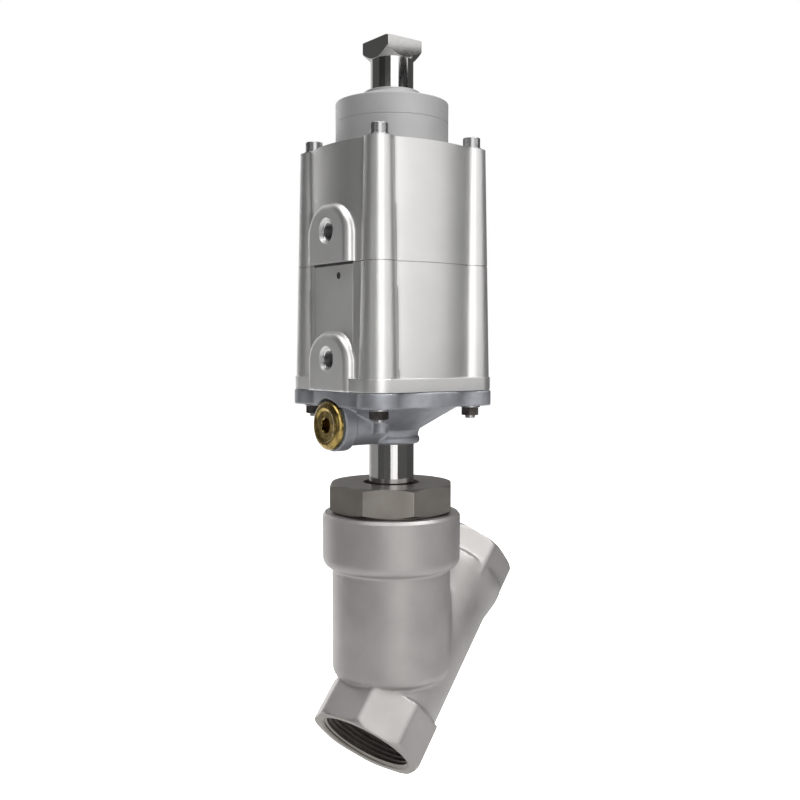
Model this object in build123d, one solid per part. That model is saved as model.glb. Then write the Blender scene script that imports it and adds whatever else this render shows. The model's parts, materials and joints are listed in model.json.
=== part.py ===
from build123d import *
import math
import os

os.makedirs("parts", exist_ok=True)

# All sizes are millimetres. The parts are laid out about the point where the
# flow axis and the spindle axis cross, with the spindle axis along +Z, and are
# moved at the very end so that the origin is on the flow axis, a little inside
# the lower mouth, where the full core of its thread has begun.

# Clearances
RUN = 0.05                   # radial, between a sliding piece and its guide
FIT = 0.03                   # radial, between pieces screwed or pushed together
LIP = 0.02                   # radial, between a lip seal and the wall it wipes
STEM_FREE = 0.4              # radial, round the spindle where nothing guides it
BOLT_FREE = 0.25             # radial, round a tie bolt

# Flow line
FLOW_ANGLE = 45.0            # between spindle axis and flow axis
LOWER_REACH = 30.0           # crossing point to lower mouth
UPPER_REACH = 90.0           # crossing point to upper mouth
THREAD_MINOR_R = 22.42       # G 1 1/2 inside thread, core radius
MOUTH_R = 24.4
THREAD_DEPTH = 20.0
ORIGIN_DEEP = 3.0            # origin and upper mount lie this far inside the mouths
FLOW_R = 20.0                # nominal bore 40
PIPE_WALL = 7.0
LAND_AF = 55.0               # octagonal spanner lands
LAND_EDGE_R = 1.2
LAND_TURN = 1.5              # how far the lathe has turned the corners off at the mouths
LOWER_LAND = 23.0
UPPER_LAND = 20.5
ROOT_SWELL = 2.0             # the pipe grows by this much towards the upper land
ROOT_LENGTH = 9.0

# Barrel and collar that receive the bonnet
BARREL_R = 30.0
BARREL_LOW = 9.8
BARREL_EDGE_R = 4.0
COLLAR_STEP = 4.8
COLLAR_LOW = 65.4
COLLAR_HIGH = 27.6
COLLAR_TOP_EDGE_R = 3.0
COLLAR_ROOT_R = 1.4
CHAMBER_WALL = 6.0
GASKET_ABOVE_COLLAR_FOOT = 4.6
GASKET_LAND = 3.0
GASKET_THICK = 1.5

# Seat and disc
SEAT_PLANE = 5.0
SEAT_WALL = 4.0
SEAT_BORE_R = 16.5
SEAT_RIM_WIDE = 2.7
SEAT_RIM_HIGH = 2.0
DISC_OVERLAP = 1.8           # disc past the seat rim
DISC_HIGH = 7.0
DISC_EDGE = 2.5
DISC_SEAL_WIDE = 8.6
DISC_SEAL_HIGH = 3.0
DISC_SEAL_LAND = 1.4         # metal left outside the soft ring
KEEPER_GAP = 2.0
KEEPER_HIGH = 2.0
DISC_NUT_AF = 17.0
DISC_NUT_HIGH = 6.0
STEM_PAST_NUT = 0.0

# Bonnet, the octagonal nut with the neck tube in it
NUT_AF = 60.0
NUT_GAP = 1.0                # dark gap between collar and octagon
NUT_HIGH = 14.0
NUT_TURN = -9.5
NUT_TRIM = 2.4
NUT_TRIM_HIGH = 2.6
NUT_RECESS_R = 14.2
NUT_RECESS_DEPTH = 5.5
BONNET_HOLLOW_R = 20.0
BONNET_HOLLOW_DEPTH = 8.5

# Neck tube and the packing inside it
NECK_R = 11.3
NECK_WALL = 3.3
NECK_IN_BONNET = 23.5
NECK_SHOWS = 19.8            # from the octagon's top to the foot of the hub
NECK_IN_HUB = 15.2
NECK_LIP = 3.0
WIPER_HIGH = 3.0
PACK_END_RING = 2.0
PACK_RING = 2.6
PACK_DIP = 1.0
PACK_COUNT = 4
CUP_PITCH = 2.4
CUP_COUNT = 4
CUP_THICK = 0.7
CUP_SIDE = 0.3
BUSH_HIGH = 12.0
BUSH_WALL_CUT = 0.6

# Spindle
STEM_R = 5.0
STEM_END_R = 4.0             # threaded ends

# Base casting with its hub and side arm
ACT_TURN = 165.0             # direction in which the air ports look
FLANGE_THICK = 7.5
BASE_R = 39.5
EAR_R = 10.2
EAR_BLEND_R = 9.0
HUB_R = 14.2
HUB_BEAD = 3.0
HUB_WAIST = 1.0
HUB_FOOT_TO_CONE = 7.2
CONE_HIGH = 12.3
CONE_TOP_R = 34.5
PLUG_ABOVE_FOOT = 10.4
ARM_R = 10.6
BOSS_R = 12.8
BOSS_LONG = 7.0
BOSS_FACE = 36.0             # spindle axis to the face of the boss
PLUG_THREAD_R = 8.3
PLUG_HEAD_R = 12.0
PLUG_HEAD_THICK = 3.4
PLUG_HEAD_EDGE_R = 2.2
PLUG_SOCKET_AF = 7.0
PLUG_SOCKET_DEEP = 6.4
PLUG_SOCKET_LEAD = 1.2
PLUG_GASKET = 0.8
PLUG_THREAD_LONG = 9.0
PLUG_SPACE = 2.0             # left behind the plug
SPOT_FACE_SIDE = 1.0
SHELF_LONG = 34.0
SHELF_WIDE = 17.2
SHELF_HIGH = 6.0
DUCT_R = 2.5
WEB_R = 3.6
WEB_REACH = 19.0
SPIGOT_HIGH = 4.0
STEM_SEAL_R = 9.0
STEM_SEAL_HIGH = 4.0
STEM_SEAL_DEEP = 3.0         # below the flange's top face

# Cylinder in two halves
LOWER_HALF = 60.7
UPPER_HALF = 57.0
BORE_R = 31.5
WALL_FOOT = 6.3
WALL_TOP = 5.5
SIDE_R = 72.0                # the four sides bulge this gently between the ribs
TIE_OUT = 1.8                # tie bolt axis beyond the wall, for a square of 56
LOBE_R_LOW = 9.4
LOBE_R_TOP = 6.9
LOBE_BLEND_R = 1.8
BAND_HIGH = 6.6
TOP_WALL = 7.0

# Tie bolts M5, their nuts and washers
TIE_R = 2.5
TIE_HEAD_R = 4.25
TIE_HEAD_HIGH = 5.0
TIE_HEAD_EDGE = 0.4
TIE_SOCKET_AF = 4.0
TIE_SOCKET_DEEP = 2.6
WASHER_R = 5.0
WASHER_HIGH = 1.0
TIE_NUT_AF = 8.0
TIE_NUT_HIGH = 4.0
TIE_PAST_NUT = 1.5

# Air ports on their arched pads
AIR_R = 4.3                  # G 1/8 inside thread, core radius
AIR_LEAD = 0.7
LOWER_AIR_UP = 15.5          # above the cylinder's foot
UPPER_AIR_UP = 15.8          # above the split
PAD_PROUD = 7.7              # bore to pad face
PAD_WIDE = 36.0
PAD_ABOVE = 12.8
PAD_CORNER_R = 12.5
PAD_EDGE_R = 3.6
PANEL_WALL = 3.5
PANEL_WIDE = 34.0
PANEL_EDGE = 2.2
VENT_R = 1.1
VENT_SIDE = 4.5
VENT_DOWN = 5.5
VENT_DEEP = 1.5

# Round rubber rings: section radius, squeeze and groove
RING_R = 0.8
RING_FREE = 0.06             # between a ring and the walls of its groove
JOINT_RING_R = 33.6

# Piston group
PISTON_UP = 21.2             # cylinder foot to piston, valve closed
PISTON_HIGH = 15.0
PISTON_SIDE = 0.08
LIP_GROOVE_DEEP = 4.0
LIP_HIGH = 3.0
LIP_FREE = 0.05
LIP_FROM_END = 1.4
GUIDE_GROOVE_DEEP = 2.1
GUIDE_HIGH = 3.8
SPRING_POCKET_DEEP = 3.0
SPRING_MEAN_R = 22.6
SPRING_WIRE_R = 2.2
SPRING_POCKET_SIDE = 1.2
SPRING_TURNS = 6.5

# Top spindle with its square
TOP_ROD_R = 10.6
ROD_SHOWS = 15.5             # cap top to the flare under the head
HEAD_FLARE = 3.8
HEAD_BAND = 5.5
HEAD_CORNER_R = 14.7
HEAD_EDGE = 0.3
STEM_IN_ROD = 14.0
ROD_SPACE = 2.0

# Cap
CAP_R = 28.0
CAP_SIDE_HIGH = 23.3
CAP_CONE_HIGH = 4.5
CAP_EDGE = 0.8
CAP_RING_R = 13.9
CAP_RING_HIGH = 1.4
CAP_RING_EDGE = 0.4
CAP_SPIGOT_R = 18.0
CAP_BUSH_WALL = 1.95
CAP_BUSH_HIGH = 16.0
CAP_SEAL_HIGH = 5.0
ROD_WIPER_HIGH = 3.0
ROD_FREE = 0.5

# What follows from them
SIN_FLOW = math.sin(math.radians(FLOW_ANGLE))
COS_FLOW = math.cos(math.radians(FLOW_ANGLE))
MOUTH_LEAD = MOUTH_R - THREAD_MINOR_R
ORIGIN_REACH = LOWER_REACH - ORIGIN_DEEP
CROSSING = (ORIGIN_REACH * SIN_FLOW, 0.0, ORIGIN_REACH * COS_FLOW)
PIPE_R = FLOW_R + PIPE_WALL
EIGHTH = math.cos(math.radians(22.5))
COLLAR_R = BARREL_R + COLLAR_STEP
COLLAR_TOP = COLLAR_LOW + COLLAR_HIGH
CHAMBER_R = BARREL_R - CHAMBER_WALL
BONNET_THREAD_R = CHAMBER_R + GASKET_LAND
GASKET_SEAT = COLLAR_LOW + GASKET_ABOVE_COLLAR_FOOT
BONNET_LOW = GASKET_SEAT + GASKET_THICK
SEAT_RIM_R = SEAT_BORE_R + SEAT_RIM_WIDE
DISC_R = SEAT_RIM_R + DISC_OVERLAP
DISC_LOW = SEAT_PLANE + SEAT_RIM_HIGH
DISC_TOP = DISC_LOW + DISC_HIGH
DISC_SEAL_R = DISC_R - DISC_SEAL_LAND
KEEPER_LOW = DISC_LOW - KEEPER_HIGH
DISC_NUT_LOW = KEEPER_LOW - DISC_NUT_HIGH
NUT_LOW = COLLAR_TOP + NUT_GAP
NUT_TOP = NUT_LOW + NUT_HIGH
NECK_LOW = NUT_TOP - NECK_IN_BONNET
HUB_LOW = NUT_TOP + NECK_SHOWS
NECK_TOP = HUB_LOW + NECK_IN_HUB
NECK_BORE_R = NECK_R - NECK_WALL
CONE_LOW = HUB_LOW + HUB_FOOT_TO_CONE
BASE_LOW = CONE_LOW + CONE_HIGH
CYL_LOW = BASE_LOW + FLANGE_THICK
CYL_SPLIT = CYL_LOW + LOWER_HALF
CYL_TOP = CYL_SPLIT + UPPER_HALF
PLUG_AXIS = HUB_LOW + PLUG_ABOVE_FOOT
SEAL_LOW = CYL_LOW - STEM_SEAL_DEEP
LOWER_AIR = CYL_LOW + LOWER_AIR_UP
UPPER_AIR = CYL_SPLIT + UPPER_AIR_UP
PAD_FACE = BORE_R + PAD_PROUD
PANEL_FACE = BORE_R + PANEL_WALL
PISTON_LOW = CYL_LOW + PISTON_UP
PISTON_TOP = PISTON_LOW + PISTON_HIGH
CEILING = CYL_TOP - TOP_WALL
CAP_EDGE_TOP = CYL_TOP + CAP_SIDE_HIGH
CAP_TOP = CAP_EDGE_TOP + CAP_CONE_HIGH + CAP_RING_HIGH
CAP_BUSH_R = TOP_ROD_R + RUN + CAP_BUSH_WALL
HEAD_LOW = CAP_TOP + ROD_SHOWS
HEAD_MID = HEAD_LOW + HEAD_FLARE
HEAD_TOP = HEAD_MID + HEAD_BAND
TIE_CENTRE_R = BORE_R + WALL_FOOT + TIE_OUT
TIE_ANGLES = [ACT_TURN + 45 + 90 * k for k in range(4)]
FROM_FOOT = (Align.CENTER, Align.CENTER, Align.MIN)


def save(shape, name):
    """Move a finished part to the shared origin and write it."""
    export_step(Pos(*CROSSING) * shape, "parts/" + name + ".step")


def turned(points):
    """Solid of revolution about the spindle axis from (radius, height) points."""
    return revolve(Plane.XZ * make_face(Polyline(*points, close=True)), Axis.Z)


def drum(radius, low, high):
    """Plain cylinder about the spindle axis."""
    return Pos(0, 0, low) * Cylinder(radius, high - low, align=FROM_FOOT)


def ring(outer, inner, low, high):
    """Flat ring about the spindle axis."""
    return drum(outer, low, high) - drum(inner, low, high)


def round_ring(radius, height):
    """Rubber ring of round section about the spindle axis."""
    return Pos(0, 0, height) * Torus(radius, RING_R)


def groove_low(height):
    """Foot of the groove that holds a rubber ring at a height."""
    return height - RING_R - RING_FREE


def groove_high(height):
    """Top of the groove that holds a rubber ring at a height."""
    return height + RING_R + RING_FREE


def flow_plane(reach):
    """Plane across the flow axis at a distance from the crossing point."""
    spot = (reach * SIN_FLOW, 0, reach * COS_FLOW)
    return Plane(origin=spot, x_dir=(COS_FLOW, 0, -SIN_FLOW), z_dir=(SIN_FLOW, 0, COS_FLOW))


def flow_drum(radius, start, end):
    """Cylinder along the flow axis."""
    return flow_plane(start) * Cylinder(radius, end - start, align=FROM_FOOT)


def flow_cone(low_r, high_r, start, end):
    """Cone along the flow axis."""
    return flow_plane(start) * Cone(low_r, high_r, end - start, align=FROM_FOOT)


def octagon(across, turn, edge_r):
    """Eight-sided outline with a flat looking along the turned x axis."""
    outline = RegularPolygon(across / 2, 8, major_radius=False, rotation=22.5 + turn)
    return fillet(outline.vertices(), edge_r)


def port_plane(height, distance):
    """Plane facing outwards on the side where the air ports are."""
    a = math.radians(ACT_TURN)
    out = (math.cos(a), math.sin(a), 0)
    spot = (distance * out[0], distance * out[1], height)
    return Plane(origin=spot, x_dir=(-out[1], out[0], 0), z_dir=out)


def port_drum(height, radius, start, end):
    """Cylinder that points towards the port side."""
    return port_plane(height, start) * Cylinder(radius, end - start, align=FROM_FOOT)


def at_ties(shape):
    """One copy of a shape on each tie-bolt axis."""
    copies = []
    for angle in TIE_ANGLES:
        a = math.radians(angle)
        spot = (TIE_CENTRE_R * math.cos(a), TIE_CENTRE_R * math.sin(a), 0)
        copies.append(Pos(*spot) * Rot(0, 0, angle) * shape)
    return copies


def drill_ties(shape):
    """Cut the four tie-bolt holes through a part."""
    for hole in at_ties(drum(TIE_R + BOLT_FREE, BASE_LOW - TIE_R, CYL_TOP + TIE_R)):
        shape -= hole
    return shape


def lobed(core_r, lobe_r, blend_r):
    """Round outline with a lobe at each tie bolt, blended in."""
    outline = Circle(core_r)
    for spot in at_ties(Circle(lobe_r)):
        outline += spot
    return fillet(outline.vertices(), blend_r)


def cylinder_outline(height):
    """Outline of the cylinder castings at one height, with their draft."""
    up = (height - CYL_LOW) / (CYL_TOP - CYL_LOW)
    core = BORE_R + WALL_FOOT + (WALL_TOP - WALL_FOOT) * up
    lobe = LOBE_R_LOW + (LOBE_R_TOP - LOBE_R_LOW) * up
    sides = [Rot(0, 0, ACT_TURN + 90 * k) * Pos(core - SIDE_R, 0, 0) * Circle(SIDE_R) for k in range(4)]
    outline = sides[0] & sides[1] & sides[2] & sides[3]
    for spot in at_ties(Circle(lobe)):
        outline += spot
    return Pos(0, 0, height) * fillet(outline.vertices(), LOBE_BLEND_R)


def pad(height, foot):
    """Arched flat pad round an air port, from its foot to above the port."""
    tall = height + PAD_ABOVE - foot
    sheet = port_plane(foot + tall / 2, 0) * Rectangle(PAD_WIDE, tall)
    block = extrude(sheet, PAD_FACE)
    level = block.edges().filter_by(lambda e: abs(e.length - PAD_FACE) < 0.001)
    block = fillet(level.group_by(Axis.Z)[-1], PAD_CORNER_R)
    a = math.radians(ACT_TURN)
    outer = block.faces().sort_by(lambda f: f.center().X * math.cos(a) + f.center().Y * math.sin(a))
    rim = outer[-1].edges().filter_by(lambda e: e.center().Z > foot + 0.1)
    return fillet(rim, PAD_EDGE_R)


def air_port(height):
    """Threaded air hole through a pad into the bore, with its lead-in."""
    mouth = port_plane(height, PAD_FACE - AIR_LEAD) * Cone(AIR_R, AIR_R + AIR_LEAD, AIR_LEAD, align=FROM_FOOT)
    return port_drum(height, AIR_R, BORE_R / 2, PAD_FACE) + mouth


# Valve body: one casting with both mouths, the seat wall and the collar
land = octagon(LAND_AF, 0, LAND_EDGE_R)
lower_land = extrude(flow_plane(-LOWER_REACH) * land, LOWER_LAND)
upper_land = extrude(flow_plane(UPPER_REACH - UPPER_LAND) * land, UPPER_LAND)
land_corner = LAND_AF / 2 / EIGHTH
wide = land_corner + LOWER_LAND - LAND_TURN
lower_land = lower_land & flow_cone(land_corner - LAND_TURN, wide, -LOWER_REACH, LOWER_LAND - LOWER_REACH)
wide = land_corner + UPPER_LAND - LAND_TURN
upper_land = upper_land & flow_cone(wide, land_corner - LAND_TURN, UPPER_REACH - UPPER_LAND, UPPER_REACH)
pipe = flow_drum(PIPE_R, LOWER_LAND / 2 - LOWER_REACH, UPPER_REACH - UPPER_LAND / 2)
root_end = UPPER_REACH - UPPER_LAND
root = flow_cone(PIPE_R, PIPE_R + ROOT_SWELL, root_end - ROOT_LENGTH, root_end)
barrel = turned([(0, BARREL_LOW), (BARREL_R, BARREL_LOW), (BARREL_R, COLLAR_LOW),
                 (COLLAR_R, COLLAR_LOW), (COLLAR_R, COLLAR_TOP), (0, COLLAR_TOP)])
for height, radius, round_r in ((COLLAR_TOP, COLLAR_R, COLLAR_TOP_EDGE_R),
                                (COLLAR_LOW, COLLAR_R, COLLAR_STEP - 0.1),
                                (BARREL_LOW, BARREL_R, BARREL_EDGE_R),
                                (COLLAR_LOW, BARREL_R, COLLAR_ROOT_R)):
    rims = barrel.edges().filter_by(GeomType.CIRCLE).filter_by(lambda e: abs(e.center().Z - height) < 0.01)
    barrel = fillet(rims.sort_by(lambda e: abs(e.radius - radius))[:1], round_r)
valve_body = barrel + pipe + root + lower_land + upper_land

far = UPPER_REACH * 3
above_seat = Pos(0, 0, SEAT_PLANE) * Box(far, far, far, align=FROM_FOOT)
below_seat = Pos(0, 0, SEAT_PLANE - SEAT_WALL - far) * Box(far, far, far, align=FROM_FOOT)
flow = flow_drum(FLOW_R, -2 * LOWER_REACH, 2 * UPPER_REACH)
valve_body -= flow & below_seat
valve_body -= (flow & above_seat) + drum(CHAMBER_R, SEAT_PLANE, 2 * COLLAR_TOP)
valve_body += drum(SEAT_RIM_R, SEAT_PLANE - SEAT_WALL / 2, DISC_LOW)
valve_body -= drum(SEAT_BORE_R, SEAT_PLANE - SEAT_WALL, DISC_LOW)
valve_body -= drum(BONNET_THREAD_R + FIT, GASKET_SEAT, COLLAR_TOP)
valve_body -= flow_drum(THREAD_MINOR_R, -2 * LOWER_REACH, THREAD_DEPTH - LOWER_REACH)
valve_body -= flow_drum(THREAD_MINOR_R, UPPER_REACH - THREAD_DEPTH, 2 * UPPER_REACH)
valve_body -= flow_cone(MOUTH_R, THREAD_MINOR_R, -LOWER_REACH, MOUTH_LEAD - LOWER_REACH)
valve_body -= flow_cone(THREAD_MINOR_R, MOUTH_R, UPPER_REACH - MOUTH_LEAD, UPPER_REACH)
save(valve_body, "valve_body")

# Bonnet: the octagon screwed into the collar
corner_r = NUT_AF / 2 / EIGHTH
octo = extrude(Pos(0, 0, NUT_LOW) * octagon(NUT_AF, NUT_TURN, RUN), NUT_HIGH)
trim = turned([(0, NUT_LOW), (corner_r - NUT_TRIM, NUT_LOW), (corner_r + NUT_TRIM, NUT_LOW + NUT_TRIM_HIGH),
               (corner_r + NUT_TRIM, NUT_TOP - NUT_TRIM_HIGH), (corner_r - NUT_TRIM, NUT_TOP), (0, NUT_TOP)])
bonnet = (octo & trim) + drum(BONNET_THREAD_R, BONNET_LOW, NUT_LOW)
bonnet -= drum(NUT_RECESS_R, NUT_TOP - NUT_RECESS_DEPTH, NUT_TOP)
bonnet -= drum(NECK_R + FIT, NECK_LOW, NUT_TOP)
bonnet -= drum(NECK_BORE_R, NECK_LOW - WIPER_HIGH, NECK_LOW)
bonnet -= drum(STEM_R + STEM_FREE, BONNET_LOW, NECK_LOW)
bonnet -= drum(BONNET_HOLLOW_R, BONNET_LOW, BONNET_LOW + BONNET_HOLLOW_DEPTH)
save(bonnet, "bonnet")
save(ring(BONNET_THREAD_R - FIT, CHAMBER_R + FIT, GASKET_SEAT, BONNET_LOW), "bonnet_gasket")
save(ring(NECK_BORE_R - FIT, STEM_R + RUN, NECK_LOW - WIPER_HIGH, NECK_LOW), "stem_wiper")

# Neck tube and what is packed into it, from the bottom up
neck = drum(NECK_R, NECK_LOW, NECK_TOP) - drum(NECK_BORE_R, NECK_LOW + NECK_LIP, NECK_TOP)
neck -= drum(STEM_R + STEM_FREE, NECK_LOW, NECK_TOP)
save(neck, "neck_tube")
pack_in = STEM_R + RUN
pack_out = NECK_BORE_R - FIT
pack_mid = (pack_in + pack_out) / 2
level = NECK_LOW + NECK_LIP
save(turned([(pack_in, level), (pack_out, level), (pack_out, level + PACK_END_RING),
             (pack_mid, level + PACK_END_RING + PACK_DIP), (pack_in, level + PACK_END_RING)]),
     "packing_foot_ring")
level += PACK_END_RING
v_rings = []
for count in range(PACK_COUNT):
    high = level + PACK_RING
    v_rings.append(turned([(pack_in, level), (pack_mid, level + PACK_DIP), (pack_out, level),
                           (pack_out, high), (pack_mid, high + PACK_DIP), (pack_in, high)]))
    level = high
save(Compound(v_rings), "packing_rings")
high = level + PACK_END_RING + PACK_DIP
save(turned([(pack_in, level), (pack_mid, level + PACK_DIP), (pack_out, level), (pack_out, high),
             (pack_in, high)]), "packing_head_ring")
level = high
cups = []
for count in range(CUP_COUNT):
    rise = CUP_PITCH - CUP_THICK
    low_in = level + rise * (1 - count % 2)
    low_out = level + rise * (count % 2)
    cup_in = pack_in + CUP_SIDE
    cup_out = pack_out - CUP_SIDE
    cups.append(turned([(cup_in, low_in), (cup_out, low_out), (cup_out, low_out + CUP_THICK),
                        (cup_in, low_in + CUP_THICK)]))
    level += CUP_PITCH
save(Compound(cups), "packing_springs")
bush_low = NECK_TOP - BUSH_HIGH
save(ring(pack_out, pack_in + BUSH_WALL_CUT, level, bush_low), "packing_sleeve")
save(ring(pack_out, pack_in, bush_low, NECK_TOP), "stem_bush")

# Base casting: flange, cone, hub, side arm and its boss, one piece
base = extrude(Pos(0, 0, BASE_LOW) * lobed(BASE_R, EAR_R, EAR_BLEND_R), FLANGE_THICK)
bead_top = HUB_LOW + HUB_BEAD
base += turned([(0, HUB_LOW), (HUB_R - HUB_WAIST, HUB_LOW), (HUB_R, HUB_LOW + HUB_WAIST), (HUB_R, bead_top),
                (HUB_R - HUB_WAIST, bead_top + HUB_WAIST), (HUB_R, CONE_LOW), (CONE_TOP_R, BASE_LOW),
                (CONE_TOP_R, BASE_LOW + HUB_WAIST), (0, BASE_LOW + HUB_WAIST)])
base += port_drum(PLUG_AXIS, ARM_R, 0, BOSS_FACE - BOSS_LONG / 2)
base += port_drum(PLUG_AXIS, BOSS_R, BOSS_FACE - BOSS_LONG, BOSS_FACE)
shelf = Box(SHELF_LONG, SHELF_WIDE, SHELF_HIGH, align=FROM_FOOT)
base += Rot(0, 0, ACT_TURN) * Pos(SHELF_LONG / 2 + HUB_WAIST, 0, BASE_LOW + HUB_WAIST - SHELF_HIGH) * shelf
for turn in (37, 270):
    web_at = Rot(0, 0, ACT_TURN + turn) * Pos(WEB_REACH, 0, 0)
    base += web_at * drum(WEB_R, CONE_LOW - HUB_WAIST, BASE_LOW + HUB_WAIST)
base += drum(BORE_R - RUN, CYL_LOW, CYL_LOW + SPIGOT_HIGH)
base_ring_at = CYL_LOW + SPIGOT_HIGH / 2
base_ring_r = BORE_R - RING_R - RING_FREE
base -= ring(BORE_R, base_ring_r - RING_R - RING_FREE, groove_low(base_ring_at), groove_high(base_ring_at))
base -= drum(NECK_R + FIT, HUB_LOW - ARM_R, NECK_TOP)
base -= drum(STEM_R + STEM_FREE, HUB_LOW, SEAL_LOW)
base -= drum(STEM_SEAL_R, SEAL_LOW, CYL_LOW + SPIGOT_HIGH)
base -= port_drum(PLUG_AXIS, PLUG_HEAD_R + SPOT_FACE_SIDE, BOSS_FACE, 2 * BOSS_FACE)
plug_hole = BOSS_FACE - PLUG_THREAD_LONG - PLUG_SPACE
base -= port_drum(PLUG_AXIS, PLUG_THREAD_R + FIT, plug_hole, BOSS_FACE)
duct_at = Rot(0, 0, ACT_TURN) * Pos(plug_hole + DUCT_R + FIT, 0, 0)
base -= duct_at * drum(DUCT_R, PLUG_AXIS, CYL_LOW + SPIGOT_HIGH)
save(drill_ties(base), "actuator_base")
save(round_ring(base_ring_r, base_ring_at), "base_seal")
seal_in = STEM_R + RUN
seal_out = STEM_SEAL_R - FIT
seal_top = SEAL_LOW + STEM_SEAL_HIGH
lip = (seal_out - seal_in) / 4
save(turned([(seal_in, SEAL_LOW), (seal_out, SEAL_LOW), (seal_out, seal_top), (seal_out - lip, seal_top),
             (seal_out - 1.5 * lip, SEAL_LOW + lip), (seal_in + 1.5 * lip, SEAL_LOW + lip),
             (seal_in + lip, seal_top), (seal_in, seal_top)]), "stem_seal")
save(ring(seal_out, STEM_R + STEM_FREE, seal_top, CYL_LOW + SPIGOT_HIGH - FIT), "stem_seal_keeper")

# Plug in the boss of the side arm, with its gasket
plug_face = BOSS_FACE + PLUG_GASKET
plug_end = plug_face + PLUG_HEAD_THICK
head = port_drum(PLUG_AXIS, PLUG_HEAD_R, plug_face, plug_end)
a = math.radians(ACT_TURN)
rims = head.edges().filter_by(GeomType.CIRCLE)
outer_rim = rims.sort_by(lambda e: e.center().X * math.cos(a) + e.center().Y * math.sin(a))[-1:]
plug = fillet(outer_rim, PLUG_HEAD_EDGE_R) + port_drum(
    PLUG_AXIS, PLUG_THREAD_R, plug_face - PLUG_THREAD_LONG, plug_face)
six = RegularPolygon(PLUG_SOCKET_AF / 2, 6, major_radius=False, rotation=30)
plug -= extrude(port_plane(PLUG_AXIS, plug_end - PLUG_SOCKET_DEEP) * six, PLUG_SOCKET_DEEP)
lead_r = PLUG_SOCKET_AF / 2 + PLUG_SOCKET_LEAD
plug -= port_plane(PLUG_AXIS, plug_end - PLUG_SOCKET_LEAD) * Cone(
    PLUG_SOCKET_AF / 2, lead_r, PLUG_SOCKET_LEAD, align=FROM_FOOT)
save(plug, "plug")
gasket = port_drum(PLUG_AXIS, PLUG_HEAD_R, BOSS_FACE, plug_face)
save(gasket - port_drum(PLUG_AXIS, PLUG_THREAD_R + FIT, BOSS_FACE, plug_face), "plug_gasket")

# Lower half of the cylinder: foot band, four ribs, pad, panel and vent
lower = loft([cylinder_outline(CYL_LOW), cylinder_outline(CYL_SPLIT)])
band_square = math.sqrt(2) * TIE_CENTRE_R + 2 * LOBE_R_LOW
band = Pos(0, 0, CYL_LOW) * Rot(0, 0, ACT_TURN) * RectangleRounded(band_square, band_square, LOBE_R_LOW)
lower += extrude(band, BAND_HIGH)
panel_low = LOWER_AIR + PAD_ABOVE + 1.0
panel_high = CYL_SPLIT - PANEL_EDGE
panel_at = port_plane((panel_low + panel_high) / 2, PANEL_FACE)
lower -= panel_at * Box(PANEL_WIDE, panel_high - panel_low, BORE_R, align=FROM_FOOT)
lower += pad(LOWER_AIR, CYL_LOW)
lower -= drum(BORE_R, CYL_LOW, CYL_SPLIT)
lower -= air_port(LOWER_AIR)
vent = port_plane(CYL_SPLIT - VENT_DOWN, PANEL_FACE - VENT_DEEP) * Pos(VENT_SIDE, 0, 0)
lower -= vent * Cylinder(VENT_R, VENT_DEEP, align=FROM_FOOT)
joint_ring_at = CYL_SPLIT - RING_R - RING_FREE
ring_side = RING_R + RING_FREE
lower -= ring(JOINT_RING_R + ring_side, JOINT_RING_R - ring_side, groove_low(joint_ring_at), CYL_SPLIT)
save(drill_ties(lower), "lower_cylinder")
save(round_ring(JOINT_RING_R, joint_ring_at), "joint_seal")

# Upper half of the cylinder: four ribs, pad and the wall that takes the cap
upper = loft([cylinder_outline(CYL_SPLIT), cylinder_outline(CYL_TOP)])
upper += pad(UPPER_AIR, CYL_SPLIT)
upper -= drum(BORE_R, CYL_SPLIT, CEILING)
upper -= drum(CAP_SPIGOT_R + FIT, CEILING, CYL_TOP)
upper -= air_port(UPPER_AIR)
save(drill_ties(upper), "upper_cylinder")

# Cap with its spigot, seal, bush and wiper
cap = turned([(TOP_ROD_R + ROD_FREE, CEILING), (CAP_SPIGOT_R, CEILING), (CAP_SPIGOT_R, CYL_TOP),
              (CAP_R, CYL_TOP), (CAP_R, CAP_EDGE_TOP - CAP_EDGE), (CAP_R - CAP_EDGE, CAP_EDGE_TOP),
              (CAP_RING_R, CAP_TOP - CAP_RING_HIGH), (CAP_RING_R, CAP_TOP - CAP_RING_EDGE),
              (CAP_RING_R - CAP_RING_EDGE, CAP_TOP), (TOP_ROD_R + ROD_FREE, CAP_TOP)])
bush_top = CEILING + CAP_BUSH_HIGH
cap -= drum(CAP_BUSH_R + FIT, CEILING, bush_top + CAP_SEAL_HIGH)
cap -= drum(CAP_BUSH_R + FIT, CAP_TOP - ROD_WIPER_HIGH, CAP_TOP)
cap_ring_at = (CEILING + CYL_TOP) / 2
cap_ring_r = CAP_SPIGOT_R - RING_R - RING_FREE
cap -= ring(CAP_SPIGOT_R + FIT, cap_ring_r - ring_side, groove_low(cap_ring_at), groove_high(cap_ring_at))
save(cap, "cap")
save(round_ring(cap_ring_r, cap_ring_at), "cap_seal")
rod_in = TOP_ROD_R + RUN
save(ring(CAP_BUSH_R, rod_in, CEILING, bush_top), "cap_bush")
save(ring(CAP_BUSH_R, rod_in, bush_top, bush_top + CAP_SEAL_HIGH), "cap_seal_ring")
save(turned([(rod_in, CAP_TOP - ROD_WIPER_HIGH), (CAP_BUSH_R, CAP_TOP - ROD_WIPER_HIGH),
             (CAP_BUSH_R, CAP_TOP - CAP_RING_EDGE), (TOP_ROD_R + ROD_FREE, CAP_TOP), (rod_in, CAP_TOP)]),
     "rod_wiper")

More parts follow.
